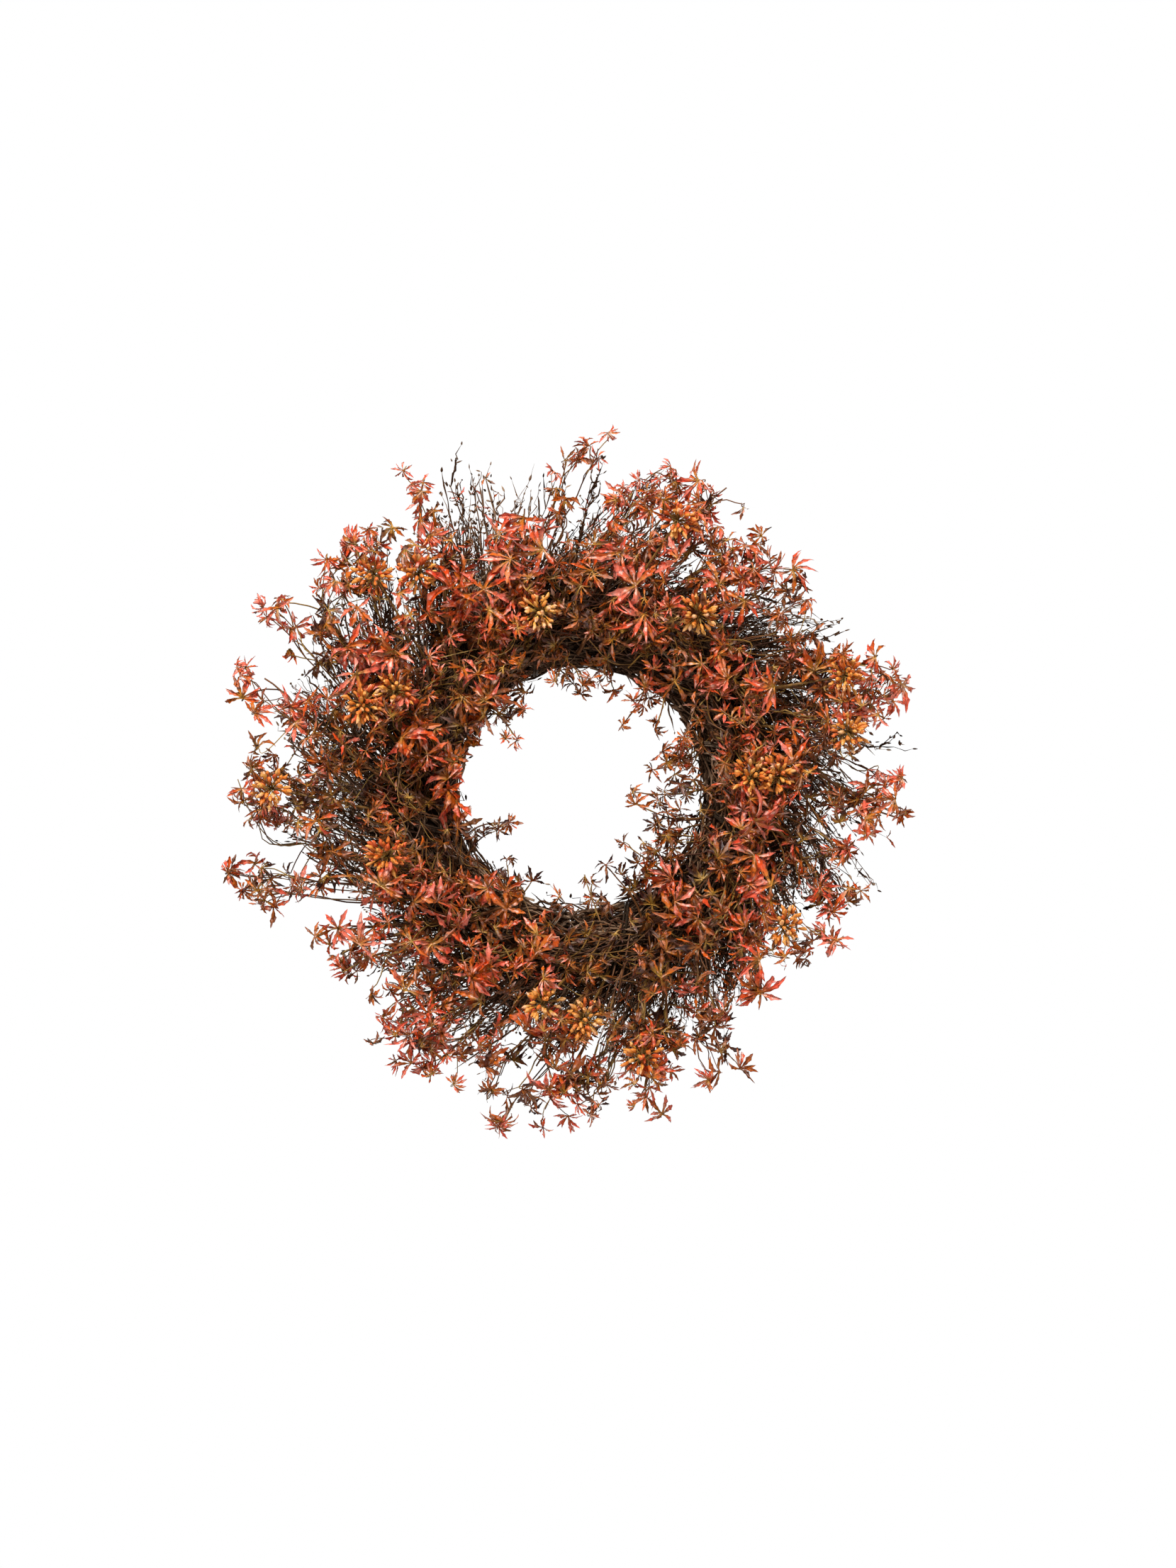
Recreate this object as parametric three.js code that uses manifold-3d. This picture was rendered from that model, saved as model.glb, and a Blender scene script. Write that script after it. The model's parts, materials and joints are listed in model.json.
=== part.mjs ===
// A harvest door wreath, in millimetres, +Z up and its front facing -Y.
// A flat two-rail wire frame carries twelve bundles of fine twigs, laid round it clockwise and bound on with wire.
// Wired maple sprays and berry picks are pushed into the twigs. A wire loop on the outer rail hangs it up.
// The origin is the point where the hanging loop bears on its hook, in the plane of the rails.
import * as THREE from "three";
import { mergeVertices } from "three/addons/utils/BufferGeometryUtils.js";
import Module from "manifold-3d";

const wasm = await Module();
wasm.setup();

// ---- Driving dimensions ----
const RAIL_WIRE = 4;
const OUTER_RAIL_RADIUS = 150; // 304 mm over the wire, a 12 inch frame
const INNER_RAIL_RADIUS = 120;
const TIE_WIRE = 3;
const TIE_COUNT = 4;
const GAP = 0.3; // between pieces that touch

const BUNDLE_COUNT = 12;
const BUNDLE_SPACING = 360 / BUNDLE_COUNT;
const NECK_RADIUS = 135; // of the line that the twigs' bound ends follow
const NECK_HALF_WIDTH = 32;
const NECK_HALF_DEPTH = 24;
const NECK_FORWARD = 26; // its centre, in front of the rails
const NECK_WAIST = 0.88; // how far the binding wire at each end pinches it
const TWIG_REACH = [262, 256, 262, 256, 246, 256, 268, 258, 262, 284, 288, 282]; // each fan's outer radius
const TUFTS_PER_FAN = 4;
const TUFT_THICKNESS = 9; // of fine twigs

const BINDING_WIRE = 1.6;
const BINDING_TURNS = 2;

const STEM_THICKNESS = 3.2;
const STALK_THICKNESS = 1.8;
const LEAF_SIZE = 20; // centre to the tip of the middle lobe
const LEAF_THICKNESS = 1;
const LOBE_SPACING = 54; // degrees
const LOBE_LENGTHS = [0.7, 0.9, 1, 0.9, 0.7]; // as shares of the leaf's size
const NOTCH_DEPTH = 0.34; // how far the notches between the lobes are from the leaf's centre, the same way

const BERRY_LENGTH = 9;
const BERRY_THICKNESS = 6;
const BERRY_HEAD_RADIUS = 17;
const BERRY_COUNT = 6; // one in the middle and the rest round it

const LOOP_WIRE = 2.6;
const LOOP_HALF_WIDTH = 13;
const LOOP_LEG = 16;
const LOOP_EYE_CLEARANCE = 1; // between the eyes and the rail they turn on

// Where each maple spray's tip is: the angle, anticlockwise from +X as seen from the front, and the radius.
const SPRAY_TIPS = [
  [163, 326], [146, 312], [120, 306], [103, 314], [86, 294], [66, 300], [48, 276], [18, 296],
  [-3, 290], [-25, 262], [-50, 262], [-77, 294], [-98, 318], [-128, 292], [-150, 276], [-168, 318],
];
// Where each berry pick's head is, the same way.
const BERRY_HEADS = [
  [159, 197], [134, 252], [180, 262], [103, 154], [283, 232], [56, 178],
  [326, 208], [4, 146], [199, 173], [265, 184], [70, 242], [12, 232],
];

const SPRIG_SIDE = 90; // the sprays with their roots within this many degrees of +X also have a sprig over the hole
const SPRIG_RADII = [96, 78]; // of the sprigs' leaves, turn by turn
const SPRIG_LEAF = 0.75; // of a full leaf's size
const SPRIG_TURN = 6; // degrees from the spray's root to the sprig's leaf

// ---- Places and solids ----

// A point by its angle round the ring, its radius, and how far it stands in front of the rails.
function place(degrees, radius, forward = 0) {
  const a = THREE.MathUtils.degToRad(degrees);
  return new THREE.Vector3(radius * Math.cos(a), -forward, radius * Math.sin(a));
}

function toSolid(geometry) {
  const bare = geometry.clone();
  bare.deleteAttribute("normal");
  bare.deleteAttribute("uv");
  const merged = mergeVertices(bare, 1e-3);
  return new wasm.Manifold(new wasm.Mesh({
    numProp: 3,
    vertProperties: merged.attributes.position.array,
    triVerts: new Uint32Array(merged.index.array),
  }));
}

function toGeometry(solid) {
  const mesh = solid.getMesh();
  const geometry = new THREE.BufferGeometry();
  geometry.setAttribute("position", new THREE.BufferAttribute(mesh.vertProperties, 3));
  geometry.setIndex(new THREE.BufferAttribute(mesh.triVerts, 1));
  geometry.computeVertexNormals();
  return geometry;
}

function join(geometries) {
  return toGeometry(geometries.map(toSolid).reduce((whole, next) => whole.add(next)));
}

// A round bar along a curve, from one radius to another.
function bar(curve, startRadius, endRadius, sides, steps) {
  const geometry = new THREE.CylinderGeometry(endRadius, startRadius, 1, sides, steps);
  const frames = curve.computeFrenetFrames(steps, false);
  const position = geometry.attributes.position;
  for (let i = 0; i < position.count; i++) {
    const t = position.getY(i) + 0.5;
    const step = Math.round(t * steps);
    const point = curve.getPointAt(t)
      .addScaledVector(frames.normals[step], position.getX(i))
      .addScaledVector(frames.binormals[step], -position.getZ(i));
    position.setXYZ(i, point.x, point.y, point.z);
  }
  return geometry;
}

function smooth(points) {
  return new THREE.CatmullRomCurve3(points);
}

// How far in front of the rails the foliage's face stands at a radius: fullest over the middle of the ring.
function faceForward(radius) {
  const share = THREE.MathUtils.clamp((radius - 85) / (320 - 85), 0, 1);
  return 58 + 32 * Math.sin(Math.PI * share);
}

// ---- The wire frame ----

function rail(radius) {
  return new THREE.TorusGeometry(radius, RAIL_WIRE / 2, 6, 32).rotateX(Math.PI / 2);
}

const TIE_OVERHANG = 3;
const TIE_BACK = RAIL_WIRE / 2 + GAP + TIE_WIRE / 2; // behind the rails' centre

function crossTie(degrees) {
  const line = new THREE.LineCurve3(
    place(degrees, INNER_RAIL_RADIUS - TIE_OVERHANG, -TIE_BACK),
    place(degrees, OUTER_RAIL_RADIUS + TIE_OVERHANG, -TIE_BACK),
  );
  return bar(line, TIE_WIRE / 2, TIE_WIRE / 2, 8, 1);
}

// ---- Twig bundles ----

const NECK_LEAN = 7; // degrees that the bundle's ends lean clockwise on the outside, so that they lie like shingles

// The bound ends of the twigs: an oval bar along the ring, pinched at its ends.
function neck(degrees) {
  const span = BUNDLE_SPACING - 0.4;
  const geometry = new THREE.CylinderGeometry(1, 1, 1, 8, 4);
  const position = geometry.attributes.position;
  for (let i = 0; i < position.count; i++) {
    const along = position.getY(i);
    const pinch = NECK_WAIST + (1 - NECK_WAIST) * Math.cos(Math.PI * along);
    const across = position.getX(i) * pinch;
    const front = position.getZ(i) * pinch;
    const point = place(
      degrees + along * span - across * NECK_LEAN,
      NECK_RADIUS + across * NECK_HALF_WIDTH,
      NECK_FORWARD + front * NECK_HALF_DEPTH,
    );
    position.setXYZ(i, point.x, point.y, point.z);
  }
  return geometry;
}

// One tuft of the fan, from inside the neck outwards and clockwise.
function tuft(degrees, forward, reach) {
  const swirl = 24;
  const points = [0, 0.3, 0.65, 1].map((t) => place(
    degrees - swirl * t * (1.4 - 0.4 * t),
    NECK_RADIUS + 6 + (reach - NECK_RADIUS - 6) * t,
    NECK_FORWARD + (forward - NECK_FORWARD) * t,
  ));
  return bar(smooth(points), TUFT_THICKNESS / 2, 1.4, 4, 3);
}

function twigBundle(index) {
  const degrees = 90 - index * BUNDLE_SPACING;
  const parts = [neck(degrees)];
  for (let k = 0; k < TUFTS_PER_FAN; k++) {
    const share = k / (TUFTS_PER_FAN - 1) - 0.5;
    const forward = NECK_FORWARD + (k % 2 ? 14 : -4);
    const shortfall = 14 * Math.abs(share) + (k % 2 ? 16 : 0);
    parts.push(tuft(degrees + share * 21, forward, TWIG_REACH[index] - shortfall));
  }
  return join(parts);
}

// ---- Binding wire: turns round the neck and both rails ----

const WRAP_BACK = RAIL_WIRE / 2 + GAP + BINDING_WIRE; // the wire's centre, behind the rails
const WRAP_FRONT = NECK_FORWARD + NECK_HALF_DEPTH * NECK_WAIST + GAP + BINDING_WIRE;
const WRAP_HALF_WIDTH = NECK_HALF_WIDTH * NECK_WAIST + GAP + BINDING_WIRE;
const WRAP_SQUARENESS = 0.5; // power of the superellipse that the wire follows: 1 is an ellipse

function bindingWire(degrees) {
  const stepsPerTurn = 12;
  const pitch = 1.25 * THREE.MathUtils.radToDeg(BINDING_WIRE / (NECK_RADIUS - WRAP_HALF_WIDTH));
  const middle = (WRAP_FRONT - WRAP_BACK) / 2;
  const halfDepth = (WRAP_FRONT + WRAP_BACK) / 2;
  const squared = (v) => Math.sign(v) * Math.abs(v) ** WRAP_SQUARENESS;
  const steps = BINDING_TURNS * stepsPerTurn;
  const points = [];
  for (let i = 0; i <= steps; i++) {
    const turn = (2 * Math.PI * i) / stepsPerTurn;
    const along = (i / steps - 0.5) * BINDING_TURNS * pitch;
    points.push(place(
      degrees + along - NECK_LEAN * squared(Math.cos(turn)) * NECK_WAIST,
      NECK_RADIUS + WRAP_HALF_WIDTH * squared(Math.cos(turn)),
      middle + halfDepth * squared(Math.sin(turn)),
    ));
  }
  return bar(smooth(points), BINDING_WIRE / 2, BINDING_WIRE / 2, 4, steps);
}

// ---- Maple sprays ----

function leafShape() {
  const shape = new THREE.Shape();
  const corner = (degrees, radius) => {
    const a = THREE.MathUtils.degToRad(degrees);
    return [LEAF_SIZE * radius * Math.sin(a), LEAF_SIZE * radius * Math.cos(a)];
  };
  shape.moveTo(...corner(180, NOTCH_DEPTH / 2));
  LOBE_LENGTHS.forEach((length, i) => {
    const angle = (i - (LOBE_LENGTHS.length - 1) / 2) * LOBE_SPACING;
    if (i > 0) shape.lineTo(...corner(angle - LOBE_SPACING / 2, NOTCH_DEPTH));
    shape.lineTo(...corner(angle, length));
  });
  return shape;
}

const LEAF = new THREE.ExtrudeGeometry(leafShape(), { depth: LEAF_THICKNESS, bevelEnabled: false, steps: 1 });

// A leaf whose middle lobe points along a direction, facing the front.
function leafAt(point, pointing, size = 1) {
  const up = pointing.clone().normalize();
  const face = new THREE.Vector3(0, -1, 0).addScaledVector(up, up.y).normalize();
  const side = new THREE.Vector3().crossVectors(up, face);
  const turn = new THREE.Matrix4().makeBasis(side, up, face).setPosition(point);
  return LEAF.clone().scale(size, size, 1).applyMatrix4(turn);
}

const STALK_END = new THREE.Vector3(0, LEAF_THICKNESS / 2 - 1, 0); // in the leaf's thickness, from its centre
const LEAF_ROOM = 19.5; // a leaf's clear radius, seen from the front
const BERRY_ROOM = BERRY_HEAD_RADIUS + BERRY_LENGTH / 2;
const taken = BERRY_HEADS.map(([degrees, radius]) => ({ at: place(degrees, radius), room: BERRY_ROOM }));

function takeRoom(at, room) {
  const flat = new THREE.Vector3(at.x, 0, at.z);
  if (taken.some((other) => other.at.distanceTo(flat) < other.room + room)) return false;
  taken.push({ at: flat, room });
  return true;
}

const STEM_FORWARD = NECK_FORWARD + NECK_HALF_DEPTH + GAP + STEM_THICKNESS / 2;
const SPRAY_SWIRL = 17; // degrees that a spray turns clockwise from root to tip

// A spray's stem at a share of its length, in front of the twigs.
function stemPoint([degrees, radius], t, aside = 0) {
  return place(
    degrees + SPRAY_SWIRL * (1 - t) + aside,
    NECK_RADIUS + (radius - LEAF_SIZE - NECK_RADIUS) * t,
    STEM_FORWARD + 5 * Math.sin(Math.PI * t),
  );
}

// A stalk from the stem's root inwards over the edge of the hole, with a small leaf at its end.
function innerSprig(stem, rootDegrees, radius) {
  const at = place(rootDegrees + SPRIG_TURN, radius, faceForward(radius));
  if (!takeRoom(at, LEAF_ROOM * SPRIG_LEAF)) return [];
  const from = stem.getPointAt(0);
  const stalk = new THREE.LineCurve3(from, at.clone().add(STALK_END));
  const inwards = at.clone().sub(from).setY(0);
  return [bar(stalk, STALK_THICKNESS / 2, STALK_THICKNESS / 2, 3, 1), leafAt(at, inwards, SPRIG_LEAF)];
}

function mapleSpray(tip, index) {
  const steps = [0, 0.25, 0.5, 0.75, 1];
  const stem = smooth(steps.map((t) => stemPoint(tip, t)));
  const parts = [bar(stem, STEM_THICKNESS / 2, STEM_THICKNESS / 3, 5, 4)];
  const slots = [
    { t: 1, aside: 0 }, { t: 0.66, aside: 6.5 }, { t: 0.5, aside: -7 },
    { t: 0.2, aside: 8 }, { t: 0.1, aside: -9 },
  ];
  for (const { t, aside } of slots) {
    const from = stem.getPointAt(t);
    const over = stemPoint(tip, t, aside);
    const radius = Math.hypot(over.x, over.z);
    const root = new THREE.Vector3(over.x, -faceForward(radius), over.z);
    const ahead = stemPoint(tip, t + 0.1, aside * 1.6).sub(over).setY(0);
    if (t < 1 && !takeRoom(root, LEAF_ROOM)) continue;
    if (t === 1) taken.push({ at: root.clone().setY(0), room: LEAF_ROOM });
    const stalk = new THREE.LineCurve3(from, root.clone().add(STALK_END));
    parts.push(bar(stalk, STALK_THICKNESS / 2, STALK_THICKNESS / 2, 3, 1), leafAt(root, ahead));
  }
  const rootDegrees = tip[0] + SPRAY_SWIRL;
  if (Math.abs(rootDegrees) < SPRIG_SIDE) {
    parts.push(...innerSprig(stem, rootDegrees, SPRIG_RADII[index % SPRIG_RADII.length]));
  }
  return join(parts);
}

// ---- Berry picks ----

// A berry at the end of its stalk, turned about its own axis.
function berry(from, direction) {
  const profile = [
    [0, 0], [STALK_THICKNESS / 2, 0], [STALK_THICKNESS / 2, BERRY_HEAD_RADIUS - BERRY_LENGTH / 2],
    [BERRY_THICKNESS / 2, BERRY_HEAD_RADIUS - BERRY_LENGTH / 6],
    [BERRY_THICKNESS / 2, BERRY_HEAD_RADIUS + BERRY_LENGTH / 6],
    [0, BERRY_HEAD_RADIUS + BERRY_LENGTH / 2],
  ];
  const turned = new THREE.LatheGeometry(profile.map(([x, y]) => new THREE.Vector2(x, y)), 4);
  const turn = new THREE.Quaternion().setFromUnitVectors(new THREE.Vector3(0, 1, 0), direction.normalize());
  return turned.applyQuaternion(turn).translate(from.x, from.y, from.z);
}

function berryPick([degrees, radius]) {
  const head = place(degrees, radius, faceForward(radius) + 4);
  const rootRadius = THREE.MathUtils.clamp(radius - 30, NECK_RADIUS, 158);
  const root = place(degrees + (radius - rootRadius) * 0.07, rootRadius, STEM_FORWARD);
  const middle = root.clone().lerp(head, 0.55).add(new THREE.Vector3(0, -4, 0));
  const parts = [bar(smooth([root, middle, head]), STEM_THICKNESS / 2, STEM_THICKNESS / 2, 5, 3)];
  parts.push(berry(head, new THREE.Vector3(0, -1, 0)));
  for (let k = 1; k < BERRY_COUNT; k++) {
    const a = (2 * Math.PI * k) / (BERRY_COUNT - 1);
    parts.push(berry(head, new THREE.Vector3(Math.cos(a), -0.55, Math.sin(a))));
  }
  return join(parts);
}

// ---- The hanging loop ----

const EYE_RADIUS = RAIL_WIRE / 2 + LOOP_EYE_CLEARANCE + LOOP_WIRE / 2;
const LOOP_PIVOT_HEIGHT = Math.sqrt(OUTER_RAIL_RADIUS ** 2 - LOOP_HALF_WIDTH ** 2); // above the ring's centre
const LOOP_SPRING_HEIGHT = LOOP_PIVOT_HEIGHT + EYE_RADIUS + LOOP_LEG; // where the legs meet the round top
const HOOK_HEIGHT = LOOP_SPRING_HEIGHT + LOOP_HALF_WIDTH - LOOP_WIRE / 2;

function hangingLoop() {
  const legFoot = LOOP_PIVOT_HEIGHT + EYE_RADIUS;
  const path = new THREE.CurvePath();
  path.add(new THREE.LineCurve3(
    new THREE.Vector3(LOOP_HALF_WIDTH, 0, legFoot),
    new THREE.Vector3(LOOP_HALF_WIDTH, 0, LOOP_SPRING_HEIGHT),
  ));
  const arc = [];
  for (let i = 0; i <= 12; i++) {
    const a = (Math.PI * i) / 12;
    arc.push(new THREE.Vector3(
      LOOP_HALF_WIDTH * Math.cos(a), 0, LOOP_SPRING_HEIGHT + LOOP_HALF_WIDTH * Math.sin(a),
    ));
  }
  path.add(smooth(arc));
  path.add(new THREE.LineCurve3(
    new THREE.Vector3(-LOOP_HALF_WIDTH, 0, LOOP_SPRING_HEIGHT),
    new THREE.Vector3(-LOOP_HALF_WIDTH, 0, legFoot),
  ));
  const eye = new THREE.TorusGeometry(EYE_RADIUS, LOOP_WIRE / 2, 5, 12).rotateY(Math.PI / 2);
  const eyes = [-LOOP_HALF_WIDTH, LOOP_HALF_WIDTH].map((x) => eye.clone().translate(x, 0, LOOP_PIVOT_HEIGHT));
  return join([bar(path, LOOP_WIRE / 2, LOOP_WIRE / 2, 5, 14), ...eyes]);
}

// ---- Assembly ----

const WIRE_METAL = { roughness: 0.45, metalness: 1 };
const MATERIALS = {
  rail: new THREE.MeshStandardMaterial({ color: 0x3a3a36, ...WIRE_METAL }),
  binding: new THREE.MeshStandardMaterial({ color: 0x4a3a2c, ...WIRE_METAL }),
  twig: new THREE.MeshStandardMaterial({ color: 0x3f2a20, roughness: 0.85, metalness: 0 }),
  berry: new THREE.MeshStandardMaterial({ color: 0xdf8f4a, roughness: 0.5, metalness: 0 }),
};

const LEAF_COLOURS = [0xc0593a, 0x8a4a2a, 0x7a2f24]; // coral, rust and wine
const LEAF_MATERIALS = LEAF_COLOURS.map(
  (color) => new THREE.MeshStandardMaterial({ color, roughness: 0.6, metalness: 0 }),
);

const wreath = new THREE.Group();

function add(name, geometry, material) {
  const mesh = new THREE.Mesh(geometry, material);
  mesh.name = name;
  mesh.position.z = -HOOK_HEIGHT;
  wreath.add(mesh);
}

const numbered = (name, index) => `${name}_${String(index + 1).padStart(2, "0")}`;

add("outer_rail", rail(OUTER_RAIL_RADIUS), MATERIALS.rail);
add("inner_rail", rail(INNER_RAIL_RADIUS), MATERIALS.rail);
for (let i = 0; i < TIE_COUNT; i++) {
  add(numbered("cross_tie", i), crossTie(BUNDLE_SPACING + (i * 360) / TIE_COUNT), MATERIALS.rail);
}
add("hanging_loop", hangingLoop(), MATERIALS.rail);
for (let i = 0; i < BUNDLE_COUNT; i++) {
  add(numbered("twig_bundle", i), twigBundle(i), MATERIALS.twig);
  add(numbered("binding_wire", i), bindingWire(90 - (i + 0.5) * BUNDLE_SPACING), MATERIALS.binding);
}
SPRAY_TIPS.forEach((tip, i) => {
  add(numbered("maple_spray", i), mapleSpray(tip, i), LEAF_MATERIALS[i % LEAF_MATERIALS.length]);
});
BERRY_HEADS.forEach((head, i) => add(numbered("berry_pick", i), berryPick(head), MATERIALS.berry));

export default wreath;
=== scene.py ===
"""The looks of a harvest door wreath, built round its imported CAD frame, in metres.

The CAD gives where each rail, binding wire, twig bundle, spray and berry pick is. Here each one is grown
from that place: bundles as separate budded twigs, sprays as toothed maple leaves on stems, and picks as
heads of stalked buds. Places are polar: an angle in degrees, anticlockwise from +X as seen from the front,
a radius from the ring's centre, and how far forward of the rails' plane (towards -Y).
"""

import json
import math
from functools import lru_cache
from types import SimpleNamespace

import bpy
import numpy as np
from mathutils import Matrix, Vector


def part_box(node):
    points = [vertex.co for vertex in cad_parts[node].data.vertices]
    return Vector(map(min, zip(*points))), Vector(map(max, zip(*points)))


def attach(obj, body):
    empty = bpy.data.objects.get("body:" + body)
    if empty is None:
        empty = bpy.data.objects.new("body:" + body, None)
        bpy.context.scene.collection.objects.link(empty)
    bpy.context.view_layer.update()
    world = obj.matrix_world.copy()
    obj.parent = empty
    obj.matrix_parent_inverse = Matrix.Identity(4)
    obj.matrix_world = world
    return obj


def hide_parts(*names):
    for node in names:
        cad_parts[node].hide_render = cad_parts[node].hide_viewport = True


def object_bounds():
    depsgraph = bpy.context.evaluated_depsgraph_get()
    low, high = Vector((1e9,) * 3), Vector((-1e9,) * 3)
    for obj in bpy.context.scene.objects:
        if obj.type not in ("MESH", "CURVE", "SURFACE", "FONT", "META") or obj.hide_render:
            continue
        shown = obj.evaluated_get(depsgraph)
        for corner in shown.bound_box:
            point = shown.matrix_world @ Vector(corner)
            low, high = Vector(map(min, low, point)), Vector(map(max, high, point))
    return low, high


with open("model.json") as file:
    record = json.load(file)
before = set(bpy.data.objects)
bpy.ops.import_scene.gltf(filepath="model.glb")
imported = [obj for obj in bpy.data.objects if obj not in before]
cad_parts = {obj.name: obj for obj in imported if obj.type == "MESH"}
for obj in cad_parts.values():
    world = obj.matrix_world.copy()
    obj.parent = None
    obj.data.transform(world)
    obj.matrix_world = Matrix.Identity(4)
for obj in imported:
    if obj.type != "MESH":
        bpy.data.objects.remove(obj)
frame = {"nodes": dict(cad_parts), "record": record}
CAD_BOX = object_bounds()

# ---- Places read from the CAD ----


def node_points(node):
    """A CAD node's points, as an array."""
    return np.array([v.co for v in frame["nodes"][node].data.vertices])


def names(stem):
    """The CAD nodes of one kind, in order."""
    return sorted(n for n in frame["nodes"] if n.startswith(stem))


def flat_gaps(points, at):
    """How far points are from a place, seen from the front."""
    return np.hypot(*(points - at)[:, [0, 2]].T)


RAIL_LOW, RAIL_HIGH = (np.array(corner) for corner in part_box("outer_rail"))
RING = (RAIL_LOW + RAIL_HIGH) / 2
RAIL_WIRE = (RAIL_HIGH - RAIL_LOW)[2] / 2 - flat_gaps(node_points("outer_rail"), RING).min()


def to_polar(points):
    """Angles in degrees, radii and forward distances of points."""
    away = points - RING
    return np.degrees(np.arctan2(away[:, 2], away[:, 0])), np.hypot(away[:, 0], away[:, 2]), -away[:, 1]


def from_polar(degrees, radius, forward):
    """Points, from their angles in degrees, radii and forward distances."""
    a = np.radians(degrees)
    flat = np.broadcast_arrays(radius * np.cos(a), -np.asarray(forward, float), radius * np.sin(a))
    return RING + np.stack(flat, axis=-1)


def mean_angle(degrees):
    """The middle of some angles, also where they pass 180 degrees."""
    return np.degrees(np.angle(np.exp(1j * np.radians(degrees)).mean()))


# The neck of bound twigs fills the turns of binding wire, and its back lies in the rails' plane.
_, wrap_radii, wrap_forwards = to_polar(node_points("binding_wire_01"))
NECK_RADIUS = (wrap_radii.min() + wrap_radii.max()) / 2
NECK_HALF_WIDTH = (wrap_radii.max() - wrap_radii.min()) / 2
NECK_FORWARD = wrap_forwards.max() / 2
NECK_HALF_DEPTH = NECK_FORWARD
BUNDLE_SPACING = 360 / len(names("twig_bundle"))

# ---- Meshes ----


PLAIN_SHADE = 0.5  # of what has no heart
SHARP_ANGLE = 50  # degrees between two faces, above which their edge isn't smoothed


class Skin:
    """Collects the quads of one piece.

    Each point has a look: along, across, tint and shade, all from 0 to 1.
    """

    def __init__(self):
        self.points, self.quads, self.looks, self.slots = [], [], [], []
        self.size = 0

    def add(self, points, quads, look, slot=0):
        self.points.append(points)
        self.quads.append(quads + self.size)
        self.looks.append(np.broadcast_to(look, (len(points), 4)))
        self.slots.append(np.full(len(quads), slot))
        self.size += len(points)

    def to_object(self, name, materials):
        points, quads = np.concatenate(self.points), np.concatenate(self.quads)
        mesh = bpy.data.meshes.new(name)
        mesh.vertices.add(len(points))
        mesh.vertices.foreach_set("co", points.ravel())
        mesh.loops.add(quads.size)
        mesh.loops.foreach_set("vertex_index", quads.ravel())
        mesh.polygons.add(len(quads))
        mesh.polygons.foreach_set("loop_start", np.arange(0, quads.size, 4))
        mesh.polygons.foreach_set("material_index", np.concatenate(self.slots))
        mesh.update(calc_edges=True)
        mesh.validate()
        look = mesh.attributes.new("look", "FLOAT_COLOR", "POINT")
        look.data.foreach_set("color", np.concatenate(self.looks).ravel())
        mesh.shade_smooth()
        mesh.set_sharp_from_angle(angle=math.radians(SHARP_ANGLE))
        for material in materials:
            mesh.materials.append(material)
        piece = bpy.data.objects.new(name, mesh)
        bpy.context.scene.collection.objects.link(piece)
        return piece


@lru_cache(maxsize=None)
def tube_quads(rings, sides, closed):
    """The quads of a tube's wall, and of its two end caps unless it closes on itself."""
    ring, side = np.meshgrid(np.arange(rings if closed else rings - 1), np.arange(sides), indexing="ij")
    after, beside = (ring + 1) % rings, (side + 1) % sides
    wall = np.stack([
        ring * sides + side, ring * sides + beside, after * sides + beside, after * sides + side,
    ], axis=-1)
    if closed:
        return wall.reshape(-1, 4)
    cap = np.array([[0, k + 3, k + 2, k + 1] for k in range(0, sides - 2, 2)])
    return np.concatenate([wall.reshape(-1, 4), cap, cap[:, ::-1] + (rings - 1) * sides])


def unit(vectors):
    return vectors / np.linalg.norm(vectors, axis=-1, keepdims=True)


def directions(path, closed=False):
    """The direction of a path at each of its points."""
    if closed:
        return unit(np.roll(path, -1, axis=0) - np.roll(path, 1, axis=0))
    return unit(np.gradient(path, axis=0))


# The axes and the diagonals between them: for every path here, at least one of these is well aside of it.
ASIDES = unit(np.array([
    (1, 0, 0), (0, 1, 0), (0, 0, 1), (1, 1, 0), (1, -1, 0), (1, 0, 1), (1, 0, -1), (0, 1, 1), (0, 1, -1),
]))


def tube(path, radii, sides=4, closed=False):
    """Points and quads of a round bar along a path, with an even number of sides."""
    forward = directions(path, closed)
    steady = ASIDES[np.abs(forward @ ASIDES.T).max(axis=0).argmin()]
    across = unit(np.cross(forward, steady))
    over = np.cross(forward, across)
    turn = 2 * np.pi * np.arange(sides) / sides
    offsets = np.cos(turn)[:, None, None] * across + np.sin(turn)[:, None, None] * over
    rings = path + offsets * np.broadcast_to(radii, len(path))[:, None]
    return rings.transpose(1, 0, 2).reshape(-1, 3), tube_quads(len(path), sides, closed)


def strand(skin, path, radii, tint, slot=0, sides=4):
    """A tube whose look runs along it."""
    points, quads = tube(path, radii, sides)
    look = np.zeros((len(points), 4))
    look[:, 0] = np.repeat(np.linspace(0, 1, len(path)), sides)
    look[:, 2:] = tint, PLAIN_SHADE
    skin.add(points, quads, look, slot)


def bend(points, count):
    """A smooth curve through a few points: count points of a Catmull-Rom spline."""
    points = np.asarray(points, float)
    padded = np.concatenate([[2 * points[0] - points[1]], points, [2 * points[-1] - points[-2]]])
    at = np.linspace(0, len(points) - 1, count)
    i = np.minimum(at.astype(int), len(points) - 2)
    t = (at - i)[:, None]
    a, b, c, d = padded[i], padded[i + 1], padded[i + 2], padded[i + 3]
    line = 2 * b + (c - a) * t
    return 0.5 * (line + (2 * a - 5 * b + 4 * c - d) * t**2 + (3 * b - a - 3 * c + d) * t**3)


def wander(rng, count, size):
    """A smooth random drift along a path of count points."""
    turns = rng.uniform(0.6, 2.6, 3)[:, None] * np.linspace(0, 2 * np.pi, count)
    waves = turns + rng.uniform(0, 6, 3)[:, None]
    return size * 0.5 * (rng.normal(0, 1, (3, 3)).T @ np.sin(waves)).T


def share_near(rng, mean, spread):
    """A share from 0 to 1, usually within a spread of its mean."""
    return float(np.clip(rng.normal(mean, spread), 0, 1))


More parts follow.
